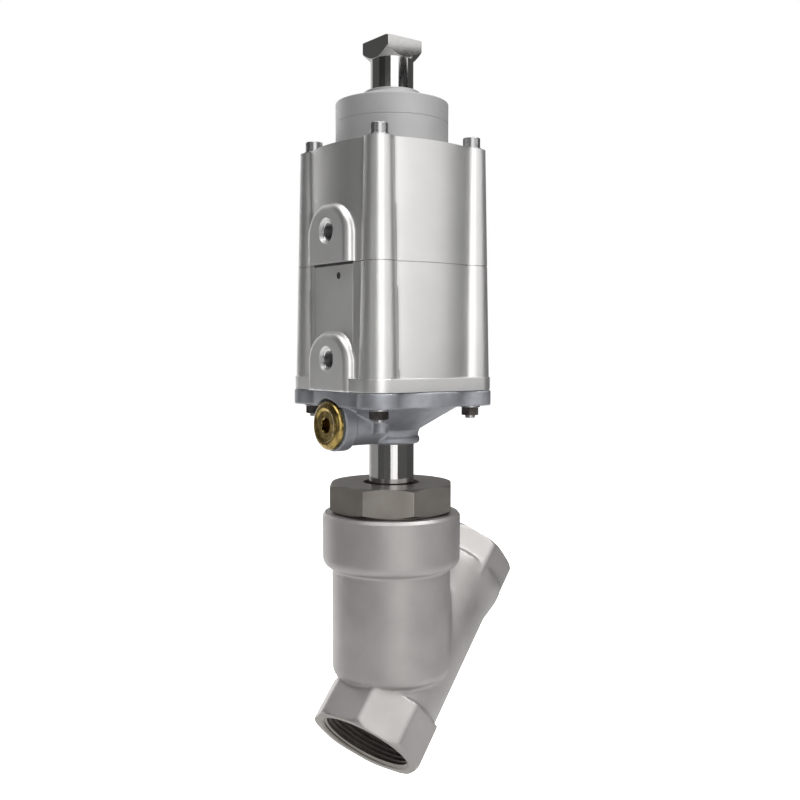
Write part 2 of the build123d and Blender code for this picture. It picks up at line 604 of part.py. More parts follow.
# Piston with its two lip seals, guide ring and pocket for the spring
piston_r = BORE_R - PISTON_SIDE
piston = drum(piston_r, PISTON_LOW, PISTON_TOP)
piston -= drum(STEM_END_R + RUN, PISTON_LOW, PISTON_TOP)
pocket_side = SPRING_WIRE_R + SPRING_POCKET_SIDE
pocket_low = PISTON_TOP - SPRING_POCKET_DEEP
piston -= ring(SPRING_MEAN_R + pocket_side, SPRING_MEAN_R - pocket_side, pocket_low, PISTON_TOP)
lip_lows = (PISTON_LOW + LIP_FROM_END, PISTON_TOP - LIP_FROM_END - LIP_HIGH)
lip_groove_r = BORE_R - LIP_GROOVE_DEEP
lips = []
for low in lip_lows:
    piston -= ring(BORE_R, lip_groove_r, low, low + LIP_HIGH)
    foot = low + LIP_FREE
    high = low + LIP_HIGH - LIP_FREE
    lips.append(turned([(lip_groove_r + LIP_FREE, foot), (BORE_R - LIP, foot),
                        (BORE_R - LIP, (foot + high) / 2), (BORE_R - LIP_HIGH / 3, high),
                        (lip_groove_r + LIP_FREE, high)]))
guide_low = (PISTON_LOW + PISTON_TOP - GUIDE_HIGH) / 2
guide_high = guide_low + GUIDE_HIGH
guide_groove_r = BORE_R - GUIDE_GROOVE_DEEP
piston -= ring(BORE_R, guide_groove_r, guide_low, guide_high)
stem_ring_at = PISTON_LOW + RING_R * 3
stem_ring_r = STEM_END_R + RING_R + RING_FREE
piston -= ring(stem_ring_r + ring_side, STEM_END_R, groove_low(stem_ring_at), groove_high(stem_ring_at))
save(piston, "piston")
save(Compound(lips), "piston_seals")
save(ring(BORE_R - FIT, guide_groove_r + LIP_FREE, guide_low + LIP_FREE, guide_high - LIP_FREE), "guide_ring")
save(round_ring(stem_ring_r, stem_ring_at), "piston_stem_seal")

# Spindle from the disc to the piston, stepped so that both are clamped on it
stem = drum(STEM_R, DISC_TOP, PISTON_LOW)
stem += drum(STEM_END_R, DISC_NUT_LOW - STEM_PAST_NUT, DISC_TOP)
stem += drum(STEM_END_R, PISTON_LOW, PISTON_TOP + STEM_IN_ROD)
save(stem, "stem")

# Top spindle: rod with the square head, screwed on the end of the stem
across = 2 * TOP_ROD_R
square = Rot(0, 0, ACT_TURN) * Rectangle(across, across)
head = extrude(Pos(0, 0, HEAD_LOW) * square, HEAD_TOP - HEAD_LOW)
under = turned([(0, HEAD_LOW), (TOP_ROD_R, HEAD_LOW), (HEAD_CORNER_R, HEAD_MID),
                (HEAD_CORNER_R, HEAD_TOP - HEAD_EDGE), (HEAD_CORNER_R - HEAD_EDGE, HEAD_TOP), (0, HEAD_TOP)])
top_spindle = drum(TOP_ROD_R, PISTON_TOP, HEAD_MID) + (head & under)
top_spindle -= drum(STEM_END_R + FIT, PISTON_TOP, PISTON_TOP + STEM_IN_ROD + ROD_SPACE)
save(top_spindle, "top_spindle")

# Disc, its soft ring, and the keeper and nut that clamp them
disc = drum(DISC_R, DISC_LOW, DISC_TOP)
disc = chamfer(disc.edges().filter_by(GeomType.CIRCLE).sort_by(Axis.Z)[-1:], DISC_EDGE)
disc_seal_in = DISC_SEAL_R - DISC_SEAL_WIDE
disc -= ring(DISC_SEAL_R, disc_seal_in, DISC_LOW, DISC_LOW + DISC_SEAL_HIGH)
disc -= drum(STEM_END_R + FIT, DISC_LOW, DISC_TOP)
save(disc, "disc")
save(ring(DISC_SEAL_R - FIT, disc_seal_in + FIT, DISC_LOW, DISC_LOW + DISC_SEAL_HIGH), "disc_seal")
save(ring(SEAT_BORE_R - KEEPER_GAP, STEM_END_R + FIT, KEEPER_LOW, DISC_LOW), "disc_keeper")
nut = extrude(Pos(0, 0, DISC_NUT_LOW) * RegularPolygon(DISC_NUT_AF / 2, 6, major_radius=False), DISC_NUT_HIGH)
save(nut - drum(STEM_END_R + FIT, DISC_NUT_LOW, KEEPER_LOW), "disc_nut")

# Return spring between the piston and the top wall of the cylinder
spring_low = pocket_low + SPRING_WIRE_R
spring_high = CEILING - SPRING_WIRE_R
tall = spring_high - spring_low
path = Helix(tall / SPRING_TURNS, tall, SPRING_MEAN_R)
wire = Plane(origin=path @ 0, z_dir=path % 0) * RegularPolygon(SPRING_WIRE_R, 8)
save(Pos(0, 0, spring_low) * sweep(wire, path=path), "return_spring")

# Tie bolts with washers under their heads and under the nuts
bolt_top = CYL_TOP + WASHER_HIGH
washer_low = BASE_LOW - WASHER_HIGH
nut_low = washer_low - TIE_NUT_HIGH
head_top = bolt_top + TIE_HEAD_HIGH
bolt = drum(TIE_R, nut_low - TIE_PAST_NUT, bolt_top) + drum(TIE_HEAD_R, bolt_top, head_top)
bolt = chamfer(bolt.edges().filter_by(GeomType.CIRCLE).sort_by(Axis.Z)[-1:], TIE_HEAD_EDGE)
key = RegularPolygon(TIE_SOCKET_AF / 2, 6, major_radius=False)
bolt -= extrude(Pos(0, 0, head_top - TIE_SOCKET_DEEP) * key, TIE_SOCKET_DEEP)
save(Compound(at_ties(bolt)), "tie_bolts")
nut = extrude(Pos(0, 0, nut_low) * RegularPolygon(TIE_NUT_AF / 2, 6, major_radius=False), TIE_NUT_HIGH)
save(Compound(at_ties(nut - drum(TIE_R + FIT, nut_low, washer_low))), "tie_nuts")
top_washer = ring(WASHER_R, TIE_R + BOLT_FREE, CYL_TOP, bolt_top)
low_washer = ring(WASHER_R, TIE_R + BOLT_FREE, washer_low, BASE_LOW)
save(Compound(at_ties(top_washer) + at_ties(low_washer)), "tie_washers")
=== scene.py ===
# %% [markdown]
# The valve is two machines in one: a cast stainless body that carries the flow, and
# an air cylinder that lifts its spindle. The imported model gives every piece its
# place, so the first step loads it and keeps its box. All new shapes are drawn in
# millimetres about the point where the flow line and the spindle line cross, which
# is how a drawing of such a valve is dimensioned, and are put in place at the end.

# %% Load the frame
import math

import bmesh
import bpy
from mathutils import Matrix, Vector
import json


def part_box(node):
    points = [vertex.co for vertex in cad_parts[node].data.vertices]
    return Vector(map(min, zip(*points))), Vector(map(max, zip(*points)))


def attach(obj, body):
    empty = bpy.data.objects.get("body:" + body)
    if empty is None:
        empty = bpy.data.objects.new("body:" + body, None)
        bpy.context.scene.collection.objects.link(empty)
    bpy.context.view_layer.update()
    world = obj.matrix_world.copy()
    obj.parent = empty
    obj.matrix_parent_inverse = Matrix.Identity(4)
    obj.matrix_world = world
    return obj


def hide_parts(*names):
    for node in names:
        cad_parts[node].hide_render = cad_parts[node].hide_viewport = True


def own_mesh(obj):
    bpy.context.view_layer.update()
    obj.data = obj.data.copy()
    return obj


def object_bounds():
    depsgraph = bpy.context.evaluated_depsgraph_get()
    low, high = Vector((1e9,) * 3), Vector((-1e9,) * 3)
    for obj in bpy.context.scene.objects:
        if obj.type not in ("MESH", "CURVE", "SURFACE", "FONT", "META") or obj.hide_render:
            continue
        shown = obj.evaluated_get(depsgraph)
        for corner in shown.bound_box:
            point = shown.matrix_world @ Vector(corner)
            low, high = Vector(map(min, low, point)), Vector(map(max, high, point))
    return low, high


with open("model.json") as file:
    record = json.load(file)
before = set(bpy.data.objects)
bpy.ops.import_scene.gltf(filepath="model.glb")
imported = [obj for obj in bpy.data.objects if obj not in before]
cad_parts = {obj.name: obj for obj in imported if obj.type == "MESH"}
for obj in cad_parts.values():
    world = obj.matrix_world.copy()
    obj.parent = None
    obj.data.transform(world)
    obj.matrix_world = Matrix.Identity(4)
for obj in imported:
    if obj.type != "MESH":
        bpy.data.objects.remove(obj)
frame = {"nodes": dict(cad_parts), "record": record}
cad_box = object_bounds()
print("CAD box", [[round(c, 4) for c in corner] for corner in cad_box])

MM = 0.001
PIPE_REACH = 27.0            # crossing point to the origin, just inside the lower mouth
SLANT = math.radians(45)
CROSSING = Vector((math.sin(SLANT), 0, math.cos(SLANT))) * PIPE_REACH * MM
PORT_TURN = math.radians(165)
ALONG_FLOW = Matrix.Rotation(SLANT, 4, "Y")
PORT_SIDE = Matrix.Rotation(PORT_TURN, 4, "Z")
TO_PORT = PORT_SIDE @ Matrix.Rotation(math.radians(90), 4, "Y")
stem_low, stem_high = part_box("stem")
print("spindle axis at", [round(c, 5) for c in (stem_low + stem_high) / 2], "crossing", CROSSING)

# %% [markdown]
# Colours are written the way a paint chart gives them, as sRGB hex values, and one
# function turns them to the linear numbers that the renderer works in. Another
# small function adds a node, sets it up and wires it, so that each finish below
# reads as a short list of what it is made of.

# %% Colour and node helpers
def colour(code):
    """Linear colour from an sRGB hex code."""
    parts = [int(code[i:i + 2], 16) / 255 for i in (1, 3, 5)]
    linear = [c / 12.92 if c <= 0.04045 else ((c + 0.055) / 1.055) ** 2.4 for c in parts]
    return (*linear, 1.0)


def add(tree, kind, settings=None, links=None):
    """Add a node, set its properties or sockets, and wire its inputs."""
    node = tree.nodes.new(kind)
    for key, value in (settings or {}).items():
        if isinstance(key, str) and hasattr(node, key):
            setattr(node, key, value)
        else:
            node.inputs[key].default_value = value
    for key, source in (links or {}).items():
        tree.links.new(source, node.inputs[key])
    return node


def blank(name):
    """New node material with its shader and output."""
    material = bpy.data.materials.new(name)
    material.use_nodes = True
    tree = material.node_tree
    tree.nodes.clear()
    shader = add(tree, "ShaderNodeBsdfPrincipled")
    add(tree, "ShaderNodeOutputMaterial", links={"Surface": shader.outputs[0]})
    print("material", name)
    return material, tree, shader


print("mid grey in linear", round(colour("#808080")[0], 3))

# %% [markdown]
# All finishes end in the same way. Two tones are mixed by a slow cloud, and a fine
# grain moves the roughness and the relief, because no real surface is even. That
# part is written once, and each recipe brings its own cloud and grain.

# %% Tones, roughness and relief
def dress(tree, shader, light, dark, cloud, grain, shine, depth_mm):
    """Mix two tones by a cloud, and let a grain set the roughness and the relief."""
    mix = add(tree, "ShaderNodeMix", {"data_type": "RGBA", 6: colour(dark), 7: colour(light)},
              {0: cloud.outputs[0]})
    tree.links.new(mix.outputs[2], shader.inputs["Base Color"])
    rough = add(tree, "ShaderNodeMapRange", shine, {"Value": grain.outputs[0]})
    tree.links.new(rough.outputs[0], shader.inputs["Roughness"])
    bump = add(tree, "ShaderNodeBump", {"Strength": 1.0, "Distance": depth_mm * MM},
               {"Height": grain.outputs[0]})
    tree.links.new(bump.outputs[0], shader.inputs["Normal"])

# %% [markdown]
# Most of the valve is bare metal, and bare metals differ by how their skin was
# made. Blasting leaves fine pits all over, turning leaves rings, casting leaves a
# slightly cloudy skin. One recipe covers them: two tones mixed by a slow cloud, a
# fine grain that moves both the roughness and the surface, and a stretch that draws
# the grain out along the tool's path. A skin with oxide, oil or dust in its pits
# scatters part of the light as paint does, so `bare` says how much of it still acts
# as clean metal. Each finish then gets its own numbers.

# %% Metal recipe
def metal(name, light, dark, rough, grain_mm, depth_mm, cloud_mm, stretch=(1, 1, 1), spread=0.06,
          bare=1.0):
    """Bare metal: two tones in slow clouds, and a grain of a given size and depth."""
    material, tree, shader = blank(name)
    shader.inputs["Metallic"].default_value = bare
    place = add(tree, "ShaderNodeTexCoord").outputs["Object"]
    drawn = add(tree, "ShaderNodeMapping", {"Scale": stretch}, {"Vector": place}).outputs[0]
    cloud = add(tree, "ShaderNodeTexNoise", {"Scale": 1 / (cloud_mm * MM), "Detail": 3.0},
                {"Vector": place})
    grain = add(tree, "ShaderNodeTexNoise", {"Scale": 1 / (grain_mm * MM), "Detail": 4.0},
                {"Vector": drawn})
    tone = add(tree, "ShaderNodeMapRange", {"From Min": 0.3, "From Max": 0.7},
               {"Value": cloud.outputs[0]})
    dress(tree, shader, light, dark, tone, grain,
          {"From Min": 0.3, "From Max": 0.7, "To Min": rough - spread, "To Max": rough + spread},
          depth_mm)
    return material


# %% [markdown]
# The valve body is investment cast in stainless steel and bead blasted, which
# gives a warm, even grey with hardly any mirror image. The beads leave pits of
# about a tenth of a millimetre. They are drawn four times as coarse here so that
# they still show as a fine tooth in the picture.

# %% Cast and blasted stainless steel
blasted_stainless = metal("blasted cast stainless steel", "#B5B2B0", "#A6A3A1", 0.47,
                          0.45, 0.05, 24, bare=0.75)
machined_stainless = metal("machined stainless steel", "#96918B", "#857F79", 0.36,
                           0.30, 0.012, 18, stretch=(1, 1, 6), bare=0.85)
polished_stainless = metal("polished stainless steel", "#C9C8C7", "#BDBBB9", 0.07,
                           0.50, 0.002, 30, stretch=(1, 1, 0.2), spread=0.02)

# %% [markdown]
# The cylinder halves are aluminium with a fine satin skin, the base under them is
# a die casting with a cooler, cloudier skin, and the cap is blasted matte. Where a
# tool has cut the aluminium, in the air ports, it is brighter and smoother.

# %% Aluminium finishes
satin_aluminium = metal("satin aluminium", "#E4E3E2", "#DAD9D8", 0.39, 0.35, 0.012, 30,
                        stretch=(1, 1, 0.25), spread=0.04, bare=0.95)
cut_aluminium = metal("cut aluminium", "#F4F4F5", "#E6E6E8", 0.24, 0.3, 0.006, 12)
diecast_aluminium = metal("die cast aluminium", "#B0B2B8", "#9B9DA2", 0.58, 0.6, 0.04, 9)
matte_aluminium = metal("matte blasted aluminium", "#B2B2B2", "#A8A8A8", 0.60, 0.4, 0.03, 20, bare=0.5)

# %% [markdown]
# Screws are zinc plated and bright. The plug in the side arm is zinc plated and
# yellow passivated: a thin film whose colour drifts from gold to olive, so its
# clouds are small and its two tones far apart.

# %% Plated steel and spring wire
bright_zinc = metal("bright zinc plate", "#BDBDBE", "#A2A1A1", 0.28, 0.4, 0.006, 4)
dark_zinc = metal("dulled zinc plate", "#6B6664", "#4C4846", 0.36, 0.4, 0.012, 3)
yellow_zinc = metal("yellow passivated zinc plate", "#C4A964", "#74633A", 0.22, 0.5, 0.012, 3.2)
spring_wire = metal("oiled spring wire", "#77777A", "#5E5E61", 0.30, 0.5, 0.006, 6)
tin_bronze = metal("turned tin bronze", "#C59A63", "#A87F4C", 0.32, 0.3, 0.008, 10)

# %% [markdown]
# The seals, gaskets and bushes are not metal. They share a second recipe, with a
# plain shine, a fine mould texture and a little unevenness in the colour.

# %% Rubber, polymer and gasket recipes
SPREAD = 0.08                            # how far the roughness varies


def moulded(name, light, dark, rough, ior, grain_mm, depth_mm):
    """Moulded or pressed non-metal with a fine texture."""
    material, tree, shader = blank(name)
    shader.inputs["IOR"].default_value = ior
    place = add(tree, "ShaderNodeTexCoord").outputs["Object"]
    grain = add(tree, "ShaderNodeTexNoise", {"Scale": 1 / (grain_mm * MM), "Detail": 5.0},
                {"Vector": place})
    dress(tree, shader, light, dark, grain, grain,
          {"To Min": rough - SPREAD, "To Max": rough + SPREAD}, depth_mm)
    return material


nitrile_rubber = moulded("moulded nitrile rubber", "#232222", "#171616", 0.62, 1.52, 0.8, 0.01)
white_ptfe = moulded("sintered PTFE", "#EDEDEA", "#E0E0DC", 0.45, 1.36, 0.9, 0.008)
bush_polymer = moulded("bearing polymer", "#2C2D2F", "#222325", 0.5, 1.5, 0.6, 0.008)
pressed_fibre = moulded("pressed fibre gasket", "#55584F", "#3E413A", 0.75, 1.5, 0.5, 0.03)

# %% [markdown]
# Turned pieces are drawn as half a section, point by point, the way a lathe
# drawing is. A point may carry a third number, the radius that rounds its corner.
# Rounding the wire before it is spun gives every rim a real edge that catches the
# light, which a bevel after the spin would do less evenly.

# %% Turning
def turned(outline, steps=128):
    """Spin a section of (radius, height[, rounding]) points about the spindle axis."""
    bm = bmesh.new()
    corners = [bm.verts.new((p[0], 0, p[1])) for p in outline]
    for here, after in zip(corners, corners[1:] + corners[:1]):
        if here.co.x > 0 or after.co.x > 0:
            bm.edges.new((here, after))
    for corner, point in zip(corners, outline):
        if len(point) > 2:
            bmesh.ops.bevel(bm, geom=[corner], offset=point[2], segments=4, affect="VERTICES",
                            profile=0.5, material=-1)
    bmesh.ops.spin(bm, geom=bm.verts[:] + bm.edges[:], cent=(0, 0, 0), axis=(0, 0, 1),
                   dvec=(0, 0, 0), angle=math.tau, steps=steps, use_merge=True, use_duplicate=False)
    bmesh.ops.remove_doubles(bm, verts=bm.verts[:], dist=0.0005)
    bmesh.ops.recalc_face_normals(bm, faces=bm.faces[:])
    return bm


def drum(radius, low, high, rounding=0.0, steps=128):
    """Plain cylinder about the spindle axis."""
    rim = (rounding,) if rounding else ()
    return turned([(0, low), (radius, low, *rim), (radius, high, *rim), (0, high)], steps)


sample = drum(10, 0, 5, 1)
print("a drum has", len(sample.verts), "vertices")
sample.free()

# %% [markdown]
# Spanner faces and sockets are prisms. A circle with few sides is given the right
# size across its flats and pulled up; its upright edges can be rounded in place.

# %% Prisms and blocks
def corner_radius(sides, across):
    """Distance of a prism's corners from its axis."""
    return across / 2 / math.cos(math.pi / sides)


def round_off(bm, edges, radius, segments):
    """Round some edges of a shape."""
    bmesh.ops.bevel(bm, geom=edges, offset=radius, segments=segments, affect="EDGES", profile=0.5,
                    material=-1)


def prism(sides, across, low, high, turn=0.0, rounding=0.0):
    """Prism about the spindle axis, with one flat looking along the turned x axis."""
    bm = bmesh.new()
    bmesh.ops.create_circle(bm, cap_ends=True, segments=sides, radius=corner_radius(sides, across))
    bmesh.ops.rotate(bm, verts=bm.verts[:], matrix=Matrix.Rotation(math.pi / sides + turn, 3, "Z"))
    bmesh.ops.translate(bm, verts=bm.verts[:], vec=(0, 0, low))
    raised = bmesh.ops.extrude_face_region(bm, geom=bm.faces[:])["geom"]
    bmesh.ops.translate(bm, verts=[v for v in raised if isinstance(v, bmesh.types.BMVert)],
                        vec=(0, 0, high - low))
    if rounding:
        upright = [e for e in bm.edges if abs(e.verts[0].co.z - e.verts[1].co.z) > (high - low) / 2]
        round_off(bm, upright, rounding, 4)
    bmesh.ops.recalc_face_normals(bm, faces=bm.faces[:])
    return bm


def block(size, centre, rounding=0.0):
    """Box with rounded edges."""
    bm = bmesh.new()
    bmesh.ops.create_cube(bm, size=1, matrix=Matrix.Translation(centre) @ Matrix.Diagonal((*size, 1)))
    if rounding:
        round_off(bm, bm.edges[:], rounding, 3)
    return bm


def moved(bm, matrix):
    """Turn and shift a shape, and hand it back."""
    bmesh.ops.transform(bm, matrix=matrix, verts=bm.verts[:])
    return bm


print("a nut blank has", len(prism(6, 8, 0, 4).faces), "faces")

# %% [markdown]
# Some steps are easier on objects, where a modifier does the work. Each helper below
# takes a shape, lets one modifier work on it, and gives a plain mesh back, so nothing
# is left live. Cuts and joins are booleans, which run in their manifold mode, because
# it is fast and exact on closed shapes.

# %% Working with modifiers
def as_object(bm, name="lump"):
    """Turn a bmesh into an object in the scene."""
    mesh = bpy.data.meshes.new(name)
    bm.to_mesh(mesh)
    bm.free()
    obj = bpy.data.objects.new(name, mesh)
    bpy.context.scene.collection.objects.link(obj)
    return obj


def apply_all(obj):
    """Replace the mesh by the result of its modifiers."""
    ready = obj.evaluated_get(bpy.context.evaluated_depsgraph_get())
    mesh = bpy.data.meshes.new_from_object(ready)
    old = obj.data
    obj.modifiers.clear()
    obj.data = mesh
    bpy.data.meshes.remove(old)
    return obj


def combine(obj, tools, how):
    """Boolean with a list of tools, shapes or objects: DIFFERENCE, UNION or INTERSECT."""
    for tool in tools:
        other = tool if isinstance(tool, bpy.types.Object) else as_object(tool, "tool")
        step = obj.modifiers.new("step", "BOOLEAN")
        step.operation = how
        step.solver = "MANIFOLD"
        step.object = other
        apply_all(obj)
        bpy.data.objects.remove(other)
    return obj


print("boolean helper ready")

# %% [markdown]
# A casting is one skin over everything that its mould joined. A plain union would
# leave a knife-sharp line where two shapes meet, and no foundry can cast that. So the
# lumps are put into one shape, a voxel remesh grows a single skin over them, and a
# few rounds of smoothing pull metal into the corners. Edges that a tool has cut are
# broken by a narrow bevel instead.

# %% Skins and edges
def gathered(parts):
    """Put several shapes or objects into one shape."""
    whole = bmesh.new()
    for part in parts:
        lump = part if isinstance(part, bpy.types.Object) else as_object(part, "part")
        whole.from_mesh(lump.data)
        bpy.data.meshes.remove(lump.data)
    return whole


def one_skin(lumps, voxel, rounds, name="casting"):
    """Grow one closed skin over several lumps and relax it."""
    obj = as_object(gathered(lumps), name)
    skin = obj.modifiers.new("skin", "REMESH")
    skin.mode = "VOXEL"
    skin.voxel_size = voxel
    skin.adaptivity = 0
    relax = obj.modifiers.new("relax", "SMOOTH")
    relax.factor = 0.5
    relax.iterations = rounds
    return apply_all(obj)


def soften(obj, width, angle=30):
    """Break the sharp edges that are left, by a bevel of a given width."""
    edge = obj.modifiers.new("edge", "BEVEL")
    edge.width = width
    edge.segments = 2
    edge.limit_method = "ANGLE"
    edge.angle_limit = math.radians(angle)
    edge.harden_normals = False
    return apply_all(obj)


print("skin and edge helpers ready")

# %% [markdown]
# Every piece ends in the same way. It is put in its place in metres, gets its finish
# and smooth shading between its sharp edges, and is then hung on the body it rides
# on, while the imported pieces that it stands for are hidden.

# %% Finishing a piece
def finished(shape, name, material, body, nodes, sharp=32):
    """Name a piece, put it in its place in metres, and hide the imported pieces it replaces."""
    obj = shape if isinstance(shape, bpy.types.Object) else as_object(shape, name)
    obj.name = name
    obj.data.name = name
    obj.data.transform(Matrix.Translation(CROSSING) @ Matrix.Diagonal((MM, MM, MM, 1)))
    obj.data.materials.clear()
    obj.data.materials.append(material)
    for face in obj.data.polygons:
        face.material_index = 0
    obj.data.shade_smooth()
    obj.data.set_sharp_from_angle(angle=math.radians(sharp))
    even = obj.modifiers.new("even", "WEIGHTED_NORMAL")
    even.keep_sharp = True
    apply_all(obj)
    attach(obj, body)
    if nodes:
        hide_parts(*nodes)
    print(name, len(obj.data.loops) - 2 * len(obj.data.polygons), "triangles")
    return obj


print("finishing helper ready")

# %% [markdown]
# The body casting is one lump of metal that has to look poured, not assembled. The
# flow pipe and the barrel cross at 45 degrees, and on the real part the foundry
# rounds that crossing by about three millimetres. So the two are first given one
# skin and relaxed a lot, then the spanner lands and the collar join them and the
# whole is relaxed only a little, which keeps their corners.

# %% Body casting, outside
PIPE_R, SWOLLEN_R = 27, 29.2             # the flow pipe, and its swell before the upper land
BARREL_R, BARREL_FOOT = 30, 9.8
LOW_END, HIGH_END = -30, 90              # the ends of the two mouths along the flow line
LAND_ACROSS, LAND_CORNER_OFF, LAND_ROUNDING = 55, 2.5, 1.2
COLLAR_R, COLLAR_ROOT, COLLAR_TOP = 34.8, 65.4, 93
BODY_VOXEL = 0.85
PAST_CUT = 1                             # a piece is drawn longer by this, then cut off flat


def along(bm):
    """Lay a shape that was drawn upright along the flow line."""
    return moved(bm, ALONG_FLOW)


def land(low, high, mouth):
    """Octagonal spanner land, with the corners turned off at the mouth end."""
    corner = corner_radius(8, LAND_ACROSS)
    narrow, wide = corner - LAND_CORNER_OFF, corner + high - low + PAST_CUT - LAND_CORNER_OFF
    if mouth == low:
        low -= PAST_CUT
        trim = [(0, low), (narrow, low), (wide, high), (0, high)]
    else:
        high += PAST_CUT
        trim = [(0, low), (wide, low), (narrow, high), (0, high)]
    shape = as_object(prism(8, LAND_ACROSS, low, high, 0, LAND_ROUNDING))
    combine(shape, [turned(trim, 96)], "INTERSECT")
    shape.data.transform(ALONG_FLOW)
    return shape


pipe = along(drum(PIPE_R, -20, 80, 0, 160))
barrel = drum(BARREL_R, BARREL_FOOT, 80, 4, 160)
swell = along(turned([(0, 55), (PIPE_R, 58), (SWOLLEN_R, 70), (SWOLLEN_R, 76), (0, 76)]))
trunk = one_skin([pipe, barrel, swell], BODY_VOXEL, 16, "trunk")
collar = turned([(0, 60), (28, 60), (28, COLLAR_ROOT), (COLLAR_R, COLLAR_ROOT, 4.7),
                 (COLLAR_R, COLLAR_TOP + 0.6), (0, COLLAR_TOP + 0.6)], 192)
body = one_skin([trunk, land(LOW_END, -7, LOW_END), land(69.5, HIGH_END, HIGH_END), collar],
                BODY_VOXEL, 2, "valve_body_casting")
print("body skin", len(body.data.polygons), "faces")

# %% [markdown]
# The inside of the body asks for two special tools. A mouth ends in a cone. The
# slanted passage stops at the seat wall, above and below it, so its cylinder is cut
# at the wall's height and closed again.

# %% Cutting tools for the body
SEAT_R, RIM_R = 16.5, 19.2
PASSAGE_R, CHAMBER_R = 20, 24            # the slanted passage, and the room above the seat
WALL_LOW, WALL_HIGH, RIM_TOP = 1, 5, 7   # the seat wall and the rim raised on it
COLLAR_THREAD_R = 27.03
ROOT_R, CREST_R = 23.9, 22.42            # the inside thread of a mouth
LOW_BORE, HIGH_BORE = -10, 70            # how far the mouths are bored, along the flow line
FAR_LOW, FAR_HIGH, FAR_R = -60, 130, 140  # beyond everything
LEAD = CREST_R - ROOT_R - 0.5            # the chamfer of a mouth ends this far inside it
CHAMFER = [(0, 2), (26.4, 2), (CREST_R, LEAD), (0, LEAD)]


def mouth_cone(end, outward, outline):
    """Cone at the end of a mouth, from points of (radius, distance beyond the end)."""
    return along(turned([(radius, end + outward * beyond) for radius, beyond in outline]))


def closed(bm):
    """Fill the open ends of a shape and turn its faces outwards."""
    bmesh.ops.holes_fill(bm, edges=[e for e in bm.edges if e.is_boundary])
    bmesh.ops.recalc_face_normals(bm, faces=bm.faces[:])
    return bm


def kept(bm, height, above):
    """Keep the part of a shape that is above or below a height, closed again."""
    bmesh.ops.bisect_plane(bm, geom=bm.verts[:] + bm.edges[:] + bm.faces[:], dist=0.0001,
                           plane_co=(0, 0, height), plane_no=(0, 0, 1),
                           clear_inner=above, clear_outer=not above)
    return closed(bm)


print("seat", 2 * SEAT_R, "mm wide, mouths", 2 * CREST_R, "mm wide inside the thread")

# %% [markdown]
# Inside, the foundry leaves a wall across the pipe that carries the seat, and the
# machine shop then cuts the seat, the two mouths and the thread for the bonnet.
# Cutting after the skin has been relaxed keeps those edges crisp against the soft
# casting, which is exactly the contrast that tells the eye what was machined.

# %% Body casting, inside
combine(body, [along(drum(FAR_R, LOW_END, HIGH_END)), drum(FAR_R, FAR_LOW, COLLAR_TOP)], "INTERSECT")
collar_edge = turned([(33.4, 95), (33.4, 93.4), (34.9, 91.4), (40, 91.4), (40, 95)], 192)
combine(body, [collar_edge,
               kept(along(drum(PASSAGE_R, FAR_LOW, FAR_HIGH, 0, 96)), WALL_LOW, False),
               kept(along(drum(PASSAGE_R, FAR_LOW, FAR_HIGH, 0, 96)), WALL_HIGH, True),
               drum(CHAMBER_R, WALL_HIGH, 120)], "DIFFERENCE")
combine(body, [drum(RIM_R, WALL_HIGH - 2, RIM_TOP, 0.3)], "UNION")
combine(body, [drum(SEAT_R, 0, 9), drum(COLLAR_THREAD_R, 70, 120),
               along(drum(ROOT_R, FAR_LOW, LOW_BORE)), along(drum(ROOT_R, HIGH_BORE, FAR_HIGH)),
               mouth_cone(LOW_END, -1, CHAMFER), mouth_cone(HIGH_END, 1, CHAMFER)], "DIFFERENCE")
valve_body = finished(body, "valve_body_casting", blasted_stainless, "housing", ["valve_body"])

# %% [markdown]
# The blasted skin stops where the mouths were cut: their bores and end faces are
# bare machined metal. The piece stays one mesh with two materials. Each face is
# turned upright with the flow line, and the faces in a bore or on an end get the
# second one.

# %% Machined faces of the body
valve_body.data.materials.append(machined_stainless)
to_flow = ALONG_FLOW.to_3x3().inverted()
machined = 0
for face in valve_body.data.polygons:
    spot = to_flow @ ((face.center - CROSSING) / MM)
    lean = to_flow @ face.normal
    in_bore = spot.z < LOW_BORE + 0.1 or spot.z > HIGH_BORE - 0.1
    in_mouth = in_bore and math.hypot(spot.x, spot.y) < ROOT_R + 0.45
    on_end = abs(lean.z) > 0.999 and (spot.z < LOW_END + 0.1 or spot.z > HIGH_END - 0.1)
    if in_mouth or on_end:
        face.material_index = 1
        machined += 1
print("machined faces", machined)

# %% [markdown]
# An inside pipe thread is a ridge that winds round the bore. Its section is spun
# and lifted by one pitch a turn. G 1 1/2 has eleven turns to the inch and is 1.48
# millimetres deep. The ridge is trimmed by the same cone as the mouth, so the first
# turn fades in as it does on a real cut thread.

# %% Pipe threads
PITCH = 2.309
RUN_OUT = [(0, 6), (30, 6), (24.4, 0), (CREST_R, LEAD), (0, LEAD)]


def ridge(crest, root, pitch, start, turns, around=72):
    """Ridge of a right-hand inside thread about the spindle axis."""
    bm = bmesh.new()
    half = pitch / 2
    section = [(root + 0.12, start - half * 0.97), (crest, start - half * 0.14),
               (crest, start + half * 0.14), (root + 0.12, start + half * 0.97)]
    corners = [bm.verts.new((radius, 0, height)) for radius, height in section]
    for here, after in zip(corners, corners[1:] + corners[:1]):
        bm.edges.new((here, after))
    bmesh.ops.spin(bm, geom=bm.verts[:] + bm.edges[:], cent=(0, 0, 0), axis=(0, 0, 1),
                   dvec=(0, 0, pitch / around), angle=math.tau * turns,
                   steps=around * turns, use_merge=False, use_duplicate=False)
    return closed(bm)


